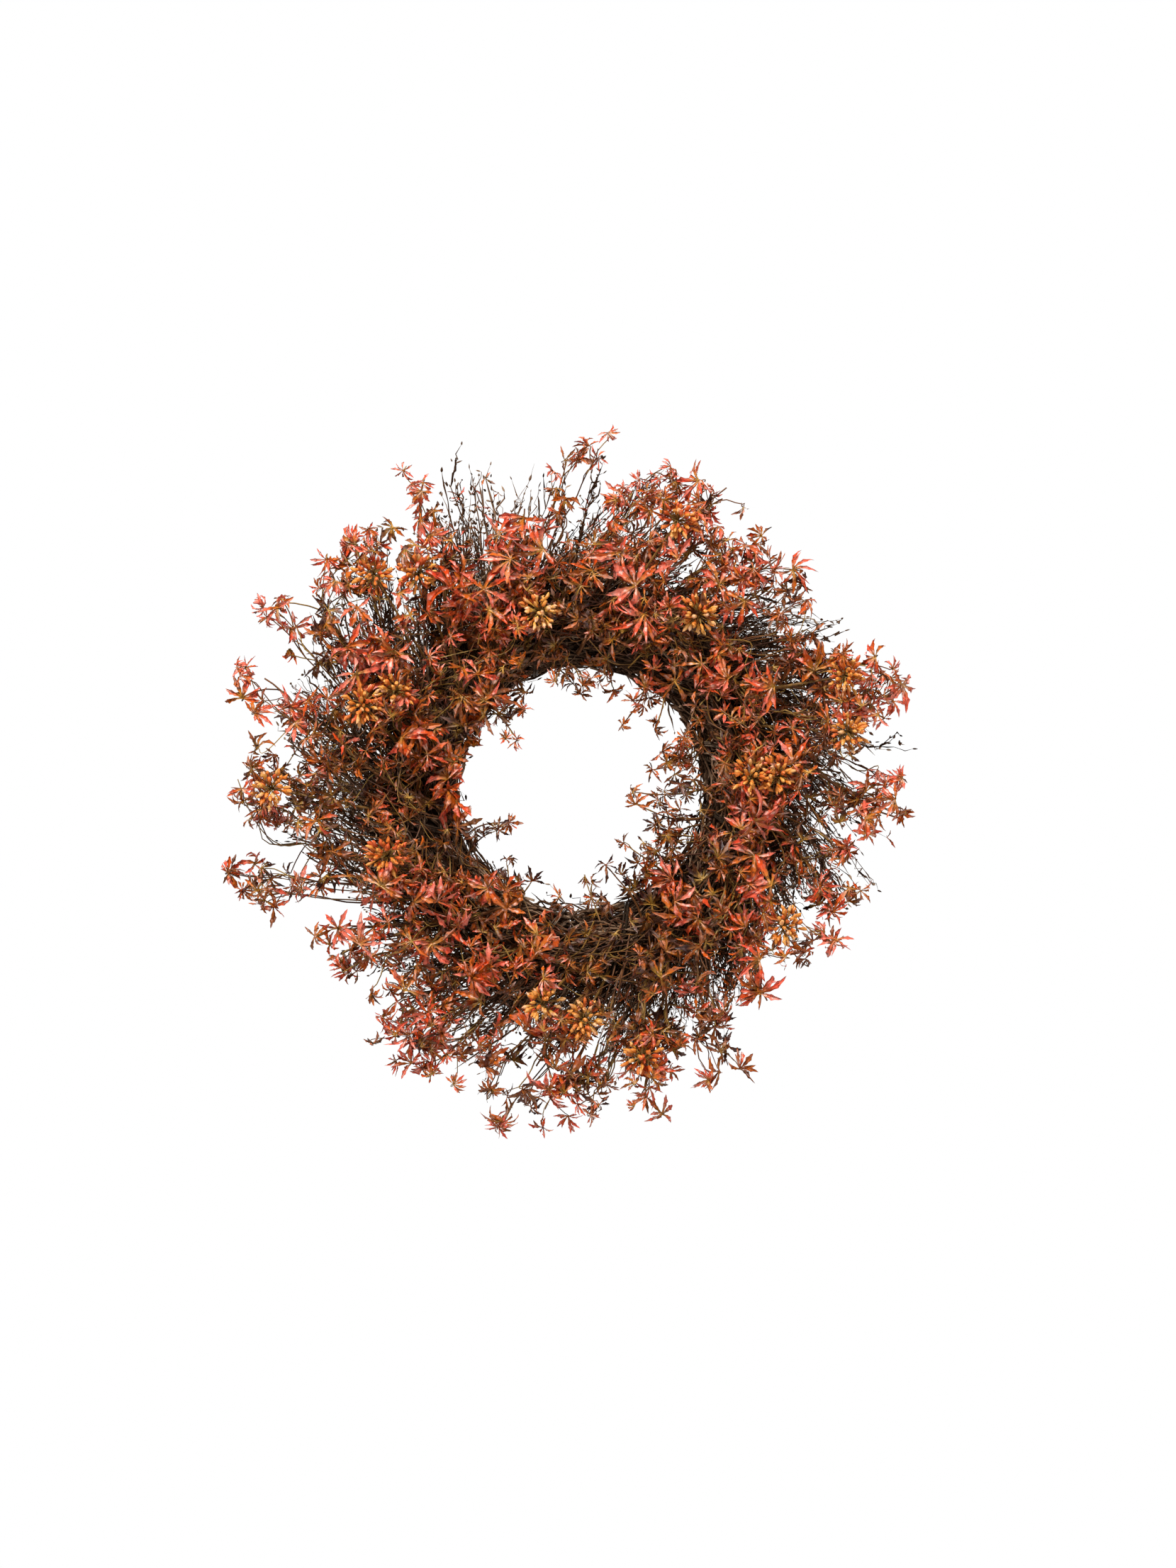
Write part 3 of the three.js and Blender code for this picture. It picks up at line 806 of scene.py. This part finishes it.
def twig_bundle(index, node):
    """A neck of bound twigs, a fan whose longest twigs end near the CAD's, and any stout ones."""
    rng = np.random.default_rng(TWIG_SEED + index)
    angles, radii, _ = to_polar(node_points(node))
    middle = mean_angle(angles[radii < NECK_RADIUS])
    reach, reach_angle = radii.max(), angles[radii.argmax()]
    skin = Skin()
    neck_core(skin, middle)
    for _ in range(BOUND_TWIGS):
        bound_twig(rng, skin, middle)
    for k in range(FAN_TWIGS + TUFT_TWIGS):
        in_tuft = k < TUFT_TWIGS
        share = rng.uniform(0.88, 1.0) if in_tuft else min(1.0, rng.normal(0.79, 0.10))
        turns, distances, forwards = fan_path(
            rng, middle + rng.uniform(-9, 23), rng.uniform(0.113, 0.158), reach * share,
            NECK_FORWARD + rng.uniform(-0.016, 0.018), NECK_FORWARD + rng.uniform(-0.022, 0.034),
            TIP_LEANS[index],
        )
        if in_tuft:
            turns = turns + (reach_angle + rng.normal(0, 2.5) - turns[-1])
        distances = shorten(rng, turns[-1], distances)
        fan_twig(rng, skin, from_polar(turns, distances, forwards), rng.uniform(0.0004, 0.0008))
    for degrees, radius in TALL_TWIGS:
        if abs((degrees + TALL_SWIRL - middle + 180) % 360 - 180) <= BUNDLE_SPACING / 2:
            tall_twig(rng, skin, degrees, radius)
    finish_piece(skin, f"{node}_twigs", [TWIG, LEAF], "twig", "wreath", node)


# ---- Maple sprays ----

SPRAY_SEED = 100
SPRAY_SWIRL = 28  # degrees that a spray turns clockwise from root to tip
SPRAY_ROOT_RADIUS = 0.118
SPRAY_LEVEL, SPRAY_LIFT = 0.044, 0.018  # how far forward a spray's ends are, and its middle past them
SIDE_STEM_RINGS = 14
SIDE_STEM_LEVEL = 0.046  # how far forward thin side stems and the picks' stems start
SIDE_STEM_ROOT = 0.128  # the radius where they start, if they don't start further out
FACE_RADII = (0.085, 0.320)  # where the foliage's face starts and ends
FACE_LEVEL, FACE_LIFT = 0.054, 0.032  # how far forward it is there, and its middle past that
HOLE_LEAF_RADIUS = 0.100
KEY_LEAF_SIZE = (0.0215, 0.0275)
OUTER_LEAF_RADIUS, OUTER_LEAF_SCALE = 0.24, 0.78
FILLER_SIZE = (0.010, 0.0185)
RING_LEAF_SIZE = (0.010, 0.017)
HOLE_LEAF_SIZE = (0.010, 0.016)
COLLAR_LEAF_SIZE = (0.013, 0.018)
FILLER_LEAVES = [46, 44, 40, 38, 38, 42, 42, 44, 44, 38, 40, 36, 26, 38, 38, 38]
RING_LEAVES = [8, 9, 9, 10, 10, 10, 10, 11, 11, 10, 9, 8, 6, 5, 4, 4]  # low over the bound twigs
RING_TINTS = [0.05, 0.25, 0.4, 0.5, 0.6, 0.75]
LOOSE_STEMS = 8
COLLAR_LEAVES = 3  # round each head of berries
# The leaves that stand out, by angle, radius and tint: 0 is wine, .3 olive brown, .6 orange and 1 salmon.
KEY_LEAVES = [
    (7, .184, .80), (12, .221, .55), (15, .237, .88), (14, .264, .92), (18, .292, .90),
    (23, .287, .92), (24, .246, .80), (28, .188, .80), (27, .225, .62), (33, .235, .60),
    (39, .228, .55), (41, .267, .40), (43, .183, .50), (37, .158, .78), (46, .263, .82),
    (49, .214, .88), (49, .123, .55), (52, .240, .88), (56, .253, .88), (56, .211, .78),
    (56, .182, .35), (67, .214, .98), (66, .249, .75), (70, .160, .90), (69, .285, .95),
    (75, .181, .96), (76, .247, .82), (80, .207, .90), (80, .276, .92), (78, .132, .28),
    (87, .188, .62), (87, .310, .88), (90, .175, .42), (93, .260, .45), (93, .287, .75),
    (102, .239, .90), (107, .206, .78), (108, .229, .88), (116, .190, .86), (116, .163, .88),
    (120, .193, .80), (118, .272, .45), (119, .295, .95), (123, .204, .82), (121, .254, .80),
    (124, .236, .86), (128, .234, .84), (132, .133, .84), (135, .112, .45), (133, .305, .70),
    (134, .290, .48), (138, .296, .80), (138, .222, .74), (141, .247, .68), (142, .129, .42),
    (143, .212, .70), (143, .105, .75), (145, .198, .92), (148, .218, 1.0), (149, .235, .96),
    (153, .217, .94), (147, .262, .35), (149, .306, .90), (150, .322, .85), (152, .289, .88),
    (152, .116, .30), (151, .173, .72), (154, .267, .12), (161, .152, .84), (162, .247, .80),
    (162, .322, .68), (164, .160, .86), (164, .260, .88), (165, .303, .68), (167, .289, .74),
    (168, .112, .60), (176, .116, .70), (177, .237, .55), (177, .290, .86), (182, .275, .92),
    (185, .288, .88), (185, .108, .76), (187, .227, .60), (194, .219, .40), (197, .112, .30),
    (194, .318, .78), (196, .288, .28), (197, .314, .74), (199, .296, .58), (199, .266, .36),
    (206, .190, .70), (210, .241, .92), (209, .262, .62), (214, .174, .92), (215, .233, 1.0),
    (214, .266, .58), (218, .157, .86), (218, .263, .70), (221, .240, .66), (222, .195, .55),
    (226, .185, .92), (227, .117, .70), (227, .207, .38), (229, .230, .58), (229, .260, .76),
    (232, .289, .58), (233, .265, .86), (235, .259, 1.0), (236, .288, .80), (238, .121, .62),
    (239, .252, .90), (239, .279, .92), (242, .274, .58), (249, .144, .80), (249, .262, .48),
    (251, .236, .42), (255, .145, .70), (257, .213, .78), (256, .316, .60), (254, .272, .25),
    (259, .264, .25), (260, .292, .45), (264, .259, .86), (264, .295, .90), (266, .268, .66),
    (268, .246, .80), (271, .268, .36), (274, .252, .88), (276, .219, .50), (282, .272, .58),
    (284, .290, .74), (285, .248, .82), (293, .175, .55), (295, .272, .62), (298, .272, .40),
    (298, .122, .20), (299, .233, .50), (300, .251, .25), (302, .221, .60), (307, .170, .45),
    (308, .138, .72), (312, .151, .78), (311, .233, .88), (316, .212, .80), (315, .111, .84),
    (317, .132, .30), (323, .253, .40), (328, .259, .74), (333, .132, .20), (333, .183, .90),
    (334, .241, .80), (339, .160, .84), (340, .256, .62), (346, .142, .96), (347, .241, .42),
    (350, .150, .90), (354, .246, .82), (358, .271, .68), (104, .186, .82), (99, .208, .84),
    (46, .150, .84), (240, .186, .80), (245, .202, .60), (320, .185, .80),
    # Over the hole:
    (73, .090, .62), (54, .089, .62), (57, .066, .60), (40, .082, .45), (17, .089, .55),
    (15, .064, .55), (2, .085, .35), (358, .073, .40), (356, .046, .30), (344, .050, .30),
    (344, .078, .30), (334, .072, .30), (319, .072, .50), (309, .060, .60), (308, .081, .15),
    (296, .082, .30), (289, .069, .35), (277, .095, .45), (273, .076, .55), (258, .096, .60),
    (242, .090, .20), (225, .087, .20), (206, .081, .20), (204, .070, .50), (142, .069, .80),
    (155, .096, .65), (103, .094, .50), (95, .090, .40), (120, .097, .40), (28, .098, .50),
]
# Clumps of small leaves that fill the spray between those: angle, radius, how many, and tint.
CLUMPS = [
    (174, .218, 6, .30), (178, .235, 9, .34), (182, .250, 8, .34), (177, .264, 7, .40), (183, .282, 8, .55),
    (187, .240, 5, .30), (75, .262, 8, .76), (77, .284, 5, .80), (71, .276, 4, .84), (80, .250, 5, .66),
    (30, .238, 9, .42), (25, .252, 6, .50), (35, .244, 5, .40), (47, .238, 7, .48), (60, .238, 8, .50),
    (65, .262, 4, .60), (136, .262, 9, .30), (139, .284, 5, .50), (131, .278, 4, .60), (240, .238, 7, .40),
    (243, .262, 7, .55), (236, .262, 4, .60), (268, .258, 6, .50), (274, .262, 6, .50), (283, .236, 9, .32),
    (289, .232, 8, .32), (284, .214, 6, .25), (299, .236, 5, .30), (15, .262, 7, .80), (3, .262, 2, .80),
    (12, .212, 6, .25), (18, .216, 6, .25), (322, .099, 5, .40), (331, .097, 7, .40), (338, .101, 5, .20),
    (313, .099, 4, .40), (17, .100, 6, .40), (10, .150, 4, .20), (135, .099, 5, .55), (90, .099, 4, .40),
    (119, .300, 3, .90), (92, .288, 2, .60), (2, .278, 2, .70),
]
CLUMP_LARGEST = 0.017
CLUMP_SPREAD = 0.0085
CLUMP_SWIRL = 14  # degrees that a clump's stem turns clockwise from root to tip
LONGEST_STALK = 0.034
# Past that, a leaf that stands out is drawn as a clump of a few.
OUTLIERS = 3
OUTLIER_LARGEST = 0.020
OUTLIER_INSET = 0.011

PICK_SEED = 300
BERRIES_PER_HEAD = 38
BERRY_LENGTH = 0.0094
BERRY_RADIUS = 0.0016
BERRY_PROFILE = np.array([0.20, 0.55, 0.80, 0.97, 1.0, 0.66, 0.08])
BERRY_SLOT = 1
HEAD_RADIUS = 0.0112
HEAD_REACH = HEAD_RADIUS + BERRY_LENGTH
HEAD_CAP = 0.012  # the depth of the CAD head's front that gives its place
HEAD_INSET = 0.017  # from there back to the head's centre
STEM_END = np.array([0, 0.006, 0])  # from a head's centre, where its stem ends
# Each pick's heads, by angle and radius from the CAD's one, and their tint from 0, red orange, to 1, peach.
PICK_HEADS = [
    ([(0, 0), (-7, -0.020)], 0.5), ([(0, 0), (-7, -0.024)], 0.35), ([(0, 0)], 0.55), ([(0, 0)], 0.65),
    ([(0, 0)], 0.35), ([(0, 0)], 0.5), ([(0, 0)], 0.45), ([(0, 0), (0, 0.022)], 0.45),
    ([(0, 0)], 0.15), ([(-5, 0), (6, 0.010)], 0.65), ([(0, 0)], 0.3), ([(0, 0), (11, 0.012)], 0.45),
]


def head_centres(node, offsets, tone):
    """The centre and tint of each head of a pick, from where the CAD's head has its front."""
    points = node_points(node)
    cap = points[points[:, 1] < points[:, 1].min() + HEAD_CAP]
    (angle,), (radius,), (forward,) = to_polar(cap.mean(axis=0)[None])
    return [(from_polar(angle + turn, radius + out, forward - HEAD_INSET), tone) for turn, out in offsets]


PICKS = [head_centres(node, *heads) for node, heads in zip(names("berry_pick"), PICK_HEADS)]
BERRY_HEADS = [head for pick in PICKS for head in pick]


def leaf_level(radius):
    """How far forward the foliage's face stands at a radius: fullest over the middle of the ring."""
    share = np.clip((radius - FACE_RADII[0]) / (FACE_RADII[1] - FACE_RADII[0]), 0, 1)
    return FACE_LEVEL + FACE_LIFT * np.sin(np.pi * share)


def spray_stem(node):
    """A curved stem from the ring to just short of the CAD spray's tip, or of a gap's edge."""
    tip_angles, tip_radii, _ = to_polar(node_points(node))
    tip_angle = tip_angles[tip_radii.argmax()]
    t = np.linspace(0, 1, 26)
    reach = min(tip_radii.max() - 0.012, gap_radius(tip_angle) + 0.020)
    radii = SPRAY_ROOT_RADIUS + (reach - SPRAY_ROOT_RADIUS) * t**1.2
    angles = tip_angle + SPRAY_SWIRL * (1 - t) ** 1.3
    return from_polar(angles, radii, SPRAY_LEVEL + SPRAY_LIFT * np.sin(np.pi * np.minimum(t * 1.1, 1)))


STEMS = [spray_stem(node) for node in names("maple_spray")]


def nearest_stem(at):
    """The spray whose stem passes nearest to a point, seen from the front."""
    return int(np.argmin([flat_gaps(stem, at).min() for stem in STEMS]))


def key_leaf(rng, skin, stem, degrees, radius, tint):
    """A leaf that stands out, on a stalk from the stem, and a smaller one part of the way out to it."""
    at = from_polar(degrees, radius * 0.985, leaf_level(radius) + rng.uniform(-0.003, 0.010))
    start = max(0, int(flat_gaps(stem, at).argmin()) - rng.integers(3, 8))
    scale = 1 if radius < OUTER_LEAF_RADIUS else OUTER_LEAF_SCALE
    size = rng.uniform(*KEY_LEAF_SIZE) * scale * (0.80 + 0.30 * tint)
    direction = directions(stem)[start]
    facing = toward_front(rng, at, 0.28)
    stalked_leaf(rng, skin, stem[start], direction, at, facing, size, tint, rng.uniform(0.2, 0.8), 0.0008)
    near = at + (stem[start] - at) * rng.uniform(0.25, 0.6) + rng.normal(0, 0.008, 3)
    stalked_leaf(
        rng, skin, stem[start], direction, near, toward_front(rng, near, 0.5), size * 0.85,
        tint - rng.uniform(-0.05, 0.25), rng.uniform(0.2, 0.9),
    )


def hole_sprig(rng, skin, degrees, radius, tint):
    """A thin stem from the ring inwards over the hole's edge, with small narrow leaves."""
    t = np.linspace(0, 1, SIDE_STEM_RINGS)
    last = SIDE_STEM_RINGS - 1
    radii = SIDE_STEM_ROOT + (radius + 0.004 - SIDE_STEM_ROOT) * t
    angles = degrees + rng.uniform(4, 12) * (1 - t) ** 1.5 + rng.normal(0, 3) * np.sin(3 * t)
    stem = from_polar(angles, radii, SIDE_STEM_LEVEL + rng.uniform(-0.016, 0.016) * t)
    taper(skin, stem, 0.0009, 0.0005, rng.uniform(0.1, 0.5))
    along = directions(stem)
    for i in [last, *rng.integers(5, 12, 2)]:
        at = stem[i] + along[i] * 0.005 + unit(rng.normal(0, 1, 3)) * (0 if i == last else 0.009)
        shown = tint + rng.normal(-0.1, 0.12)
        stalked_leaf(
            rng, skin, stem[i - 2], along[i], at, toward_front(rng, at, 0.7), rng.uniform(*HOLE_LEAF_SIZE),
            shown, rng.uniform(0, 0.8),
        )


KEY_PLACES = np.array([from_polar(degrees, radius, 0) for degrees, radius, _ in KEY_LEAVES])
KEY_TINTS = np.array([tint for _, _, tint in KEY_LEAVES])
NEIGHBOURS = 3


def tint_near(at):
    """The mean tint of the leaves that stand out nearest to a point."""
    return KEY_TINTS[np.argsort(flat_gaps(KEY_PLACES, at))[:NEIGHBOURS]].mean()


def filler_leaf(rng, skin, stem, share):
    """A leaf deeper in the spray, between those that stand out, tinted darker: partly its own darker
    colour, partly painted shade.
    """
    i = min(len(stem) - 1, 4 + int(share * 0.96 * (len(stem) - 4)))
    along = directions(stem)[i]
    across = unit(np.cross(along, (0, 1, 0)))
    at = stem[i] + across * rng.normal(0, 0.028) * (1 - 0.6 * share**3)
    at = at + along * rng.uniform(-0.006, 0.008)
    (angle,), (radius,), _ = to_polar(at[None])
    if radius > gap_radius(angle) and rng.random() < GAP_SHARE:
        return
    at[1] = RING[1] - leaf_level(radius) + rng.uniform(0.0, 0.038)
    # Tinted darker than the leaves that stand out near it: partly real darker leaves, partly painted shade
    # for the depth.
    tint = np.clip(rng.normal(0.62 * tint_near(at), 0.24), 0.0, 0.95)
    stalked_leaf(
        rng, skin, stem[max(0, i - 3)], along, at, toward_front(rng, at, 0.7), rng.uniform(*FILLER_SIZE),
        tint, rng.uniform(0, 0.9),
    )


def clump(rng, skin, degrees, radius, count, tint, largest=CLUMP_LARGEST):
    """A thin side stem out from the ring, with small leaves round its end."""
    t = np.linspace(0, 1, SIDE_STEM_RINGS)
    root = float(np.clip(radius - 0.11, 0.125, 0.19))
    radii = root + (radius - 0.006 - root) * t
    level = leaf_level(radius) - rng.uniform(0.0, 0.022)
    forwards = SIDE_STEM_LEVEL + (level - SIDE_STEM_LEVEL) * t
    stem = from_polar(degrees + CLUMP_SWIRL * (1 - t) ** 1.3, radii, forwards)
    stem = stem + wander(rng, len(t), 0.003) * t[:, None]
    taper(skin, stem, 0.0008, 0.0004, rng.uniform(0, 0.6))
    along = directions(stem)
    for _ in range(count):
        i = rng.integers(8, SIDE_STEM_RINGS - 1)
        at = stem[-1] + rng.normal(0, CLUMP_SPREAD, 3) * (1, 0.6, 1)
        stalked_leaf(
            rng, skin, stem[i], along[i], at, toward_front(rng, at, 0.6), largest * rng.uniform(0.6, 1.0),
            share_near(rng, tint, 0.2), rng.uniform(0, 0.9),
        )


def ring_leaf(rng, skin, stem):
    """A small curled leaf on a long stalk over the bound twigs, along the first part of the spray."""
    i = rng.integers(0, 9)
    (angle,), _, _ = to_polar(stem[i][None])
    radius = rng.uniform(0.116, 0.174)
    at = from_polar(angle - rng.uniform(2, 24), radius, leaf_level(radius) - rng.uniform(0.0, 0.008))
    stalked_leaf(
        rng, skin, stem[i], directions(stem)[i], at, toward_front(rng, at, 0.6),
        rng.uniform(*RING_LEAF_SIZE), np.clip(rng.choice(RING_TINTS) + tint_near(at) - 0.6, 0, 1),
        rng.uniform(0, 0.9), 0.0007,
    )


def loose_stem(rng, skin, stem):
    """A bare stem that strays over the bound twigs in a slack curve."""
    (angle,), _, _ = to_polar(stem[rng.integers(0, 12)][None])
    turns = angle + rng.uniform(-8, 8) - np.cumsum([0, *rng.uniform(2, 12, 3)])
    radii = np.maximum(rng.uniform(0.108, 0.170) + np.cumsum([0, *rng.normal(0.005, 0.011, 3)]), 0.106)
    path = bend(from_polar(turns, radii, leaf_level(radii) - rng.uniform(0.002, 0.014, 4)), 16)
    taper(skin, path, 0.0006, 0.0003, rng.uniform(0.0, 0.8))


def collar_leaf(rng, skin, stem, centre):
    """A small leaf beside a head of berries, partly over it."""
    start = np.argmin(np.linalg.norm(stem - centre, axis=1))
    aside = unit(rng.normal(0, 1, 3) * (1, 0, 1))
    at = centre + aside * HEAD_REACH * rng.uniform(0.9, 1.25)
    at = at + np.array([0, rng.uniform(-0.014, -0.004), 0])
    stalked_leaf(
        rng, skin, stem[max(0, start - 2)], directions(stem)[start], at, toward_front(rng, at, 0.5),
        rng.uniform(*COLLAR_LEAF_SIZE), rng.uniform(0.3, 0.85), rng.uniform(0.3, 1),
    )


def maple_spray(index, node):
    """One stem with its own leaves, and the listed leaves and clumps that are nearest to it."""
    rng = np.random.default_rng(SPRAY_SEED + index)
    stem = STEMS[index]
    skin = Skin()
    taper(skin, stem + wander(rng, len(stem), 0.002), 0.0016, 0.0007, 0.35, sides=6)
    for k in range(FILLER_LEAVES[index]):
        filler_leaf(rng, skin, stem, (k + 0.5) / FILLER_LEAVES[index])
    for _ in range(RING_LEAVES[index]):
        ring_leaf(rng, skin, stem)
    for _ in range(LOOSE_STEMS):
        loose_stem(rng, skin, stem)
    for centre, _ in BERRY_HEADS:
        if nearest_stem(centre) == index:
            for _ in range(COLLAR_LEAVES):
                collar_leaf(rng, skin, stem, centre)
    for degrees, radius, count, tint in CLUMPS:
        if nearest_stem(from_polar(degrees, radius, 0)) == index:
            clump(rng, skin, degrees, radius, count, tint)
    for degrees, radius, tint in KEY_LEAVES:
        at = from_polar(degrees, radius, 0)
        if nearest_stem(at) != index:
            continue
        if radius < HOLE_LEAF_RADIUS:
            hole_sprig(rng, skin, degrees, radius, tint)
        elif flat_gaps(stem, at).min() > LONGEST_STALK:
            clump(rng, skin, degrees, radius - OUTLIER_INSET, OUTLIERS, tint, OUTLIER_LARGEST)
        else:
            key_leaf(rng, skin, stem, degrees, radius, tint)
    finish_piece(skin, f"{node}_foliage", [STEM, LEAF], node_slot(node), "wreath", node)


# ---- Berry picks ----


def berry_head(rng, skin, centre, tone):
    """A half ball of stalked, pointed buds that faces the front."""
    golden = np.pi * (3 - math.sqrt(5))
    t = np.linspace(0, 1, len(BERRY_PROFILE))
    start = centre + STEM_END
    for k in range(BERRIES_PER_HEAD):
        height = 1 - 1.05 * (k + 0.5) / BERRIES_PER_HEAD
        flat = math.sqrt(max(0, 1 - height**2))
        a = golden * k
        outward = np.array([flat * math.cos(a), -height, flat * math.sin(a)])
        direction = unit(outward + rng.normal(0, 0.2, 3))
        foot = centre + direction * HEAD_RADIUS * rng.uniform(0.6, 1.15)
        stalk = bend([start, centre + (foot - centre) * 0.45 + rng.normal(0, 0.001, 3), foot], 6)
        taper(skin, stalk, 0.0004, 0.0004, rng.uniform(0.6, 1))
        length = BERRY_LENGTH * rng.uniform(0.75, 1.15)
        tint = share_near(rng, tone, 0.3)
        berry = foot + direction * length * (t[:, None] - 0.05) + wander(rng, len(t), 0.0006)
        radii = BERRY_RADIUS * rng.uniform(0.85, 1.15) * BERRY_PROFILE
        strand(skin, berry, radii, tint, BERRY_SLOT, sides=8)


def berry_pick(index, node):
    """A stem from the ring to each head of the pick."""
    rng = np.random.default_rng(PICK_SEED + index)
    skin = Skin()
    for centre, tone in PICKS[index]:
        (angle,), (radius,), _ = to_polar(centre[None])
        root_radius = float(np.clip(radius - 0.03, SIDE_STEM_ROOT, SIDE_STEM_ROOT + 0.03))
        root = from_polar(angle + 8, root_radius, SIDE_STEM_LEVEL)
        middle = (root + centre) / 2 + np.array([0, -0.004, 0])
        stem = bend([root, middle, centre + STEM_END], 12)
        taper(skin, stem, 0.0013, 0.0009, 0.6, sides=6)
        berry_head(rng, skin, centre, tone)
    finish_piece(skin, f"{node}_head", [STEM, BERRY], "berry", "wreath", node)


# ---- The object ----

rails()
cross_ties()
hanger()
for wire_node in names("binding_wire"):
    binding(wire_node)
for bundle_index, bundle_node in enumerate(names("twig_bundle")):
    twig_bundle(bundle_index, bundle_node)
for spray_index, spray_node in enumerate(names("maple_spray")):
    maple_spray(spray_index, spray_node)
for pick_index, pick_node in enumerate(names("berry_pick")):
    berry_pick(pick_index, pick_node)

# ---- Floor, light and camera ----

FLOOR_DROP = 1.1  # below the wreath's lowest point, as under a wreath on a door
FLOOR_RADIUS = 2.8
FLOOR_SIDES = 96
AMBIENT = 0.17
# Square panels that face the ring's centre: name, place, watts and width.
PANELS = [
    ("key", (-0.7, -1.9, 1.9), 98, 0.6),
    ("fill", (1.6, -1.8, 0.1), 15, 1.4),
    ("back", (0.4, 1.8, 0.9), 34, 1.4),
]


def floor():
    """A pale disc below the wreath."""
    turn = 2 * np.pi * np.arange(FLOOR_SIDES) / FLOOR_SIDES
    height = CAD_BOX[0].z - FLOOR_DROP
    rim = [(FLOOR_RADIUS * math.cos(a), FLOOR_RADIUS * math.sin(a), height) for a in turn]
    mesh = bpy.data.meshes.new("floor")
    mesh.from_pydata(rim, [], [tuple(range(len(rim)))])
    g = Graph("pale_floor")
    g.shader.inputs["Roughness"].default_value = 0.9
    pale = g.ramp(g.noise(6), (0.3, (0.88, 0.87, 0.86)), (0.7, (0.91, 0.90, 0.89)))
    mesh.materials.append(g.finish(pale))
    disc = bpy.data.objects.new("floor", mesh)
    bpy.context.scene.collection.objects.link(disc)


def studio_world():
    """A plain surround: white to the camera, and dim as light."""
    world = bpy.data.worlds.new("studio")
    bpy.context.scene.world = world
    world.use_nodes = True
    nodes, links = world.node_tree.nodes, world.node_tree.links
    background = nodes["Background"]
    path = nodes.new("ShaderNodeLightPath")
    level = nodes.new("ShaderNodeMapRange")
    level.inputs["To Min"].default_value = AMBIENT
    level.inputs["To Max"].default_value = 1.0
    links.new(path.outputs["Is Camera Ray"], level.inputs["Value"])
    links.new(level.outputs["Result"], background.inputs["Strength"])
    background.inputs["Color"].default_value = (1, 1, 1, 1)


def soft_light(name, place, power, size):
    light = bpy.data.lights.new(name, "AREA")
    light.energy = power
    light.size = size
    lamp = bpy.data.objects.new(name, light)
    lamp.location = place
    lamp.rotation_euler = (Vector(RING) - Vector(place)).to_track_quat("-Z", "Y").to_euler()
    bpy.context.scene.collection.objects.link(lamp)


VIEW_HEIGHT = 1.343  # metres of the wreath's plane that the picture takes in
LENS = 85
SENSOR = 36
AIM = Vector((0.006, -0.05, RING[2] + 0.004))


def camera():
    """A level view of the wreath from straight in front."""
    data = bpy.data.cameras.new("camera")
    data.lens = LENS
    data.sensor_width = SENSOR
    eye = bpy.data.objects.new("camera", data)
    eye.location = AIM + Vector((0, -VIEW_HEIGHT * LENS / SENSOR, 0))
    eye.rotation_euler = (math.pi / 2, 0, 0)
    bpy.context.scene.collection.objects.link(eye)
    bpy.context.scene.camera = eye


floor()
studio_world()
for panel in PANELS:
    soft_light(*panel)
camera()
bpy.context.scene.view_settings.view_transform = "Standard"
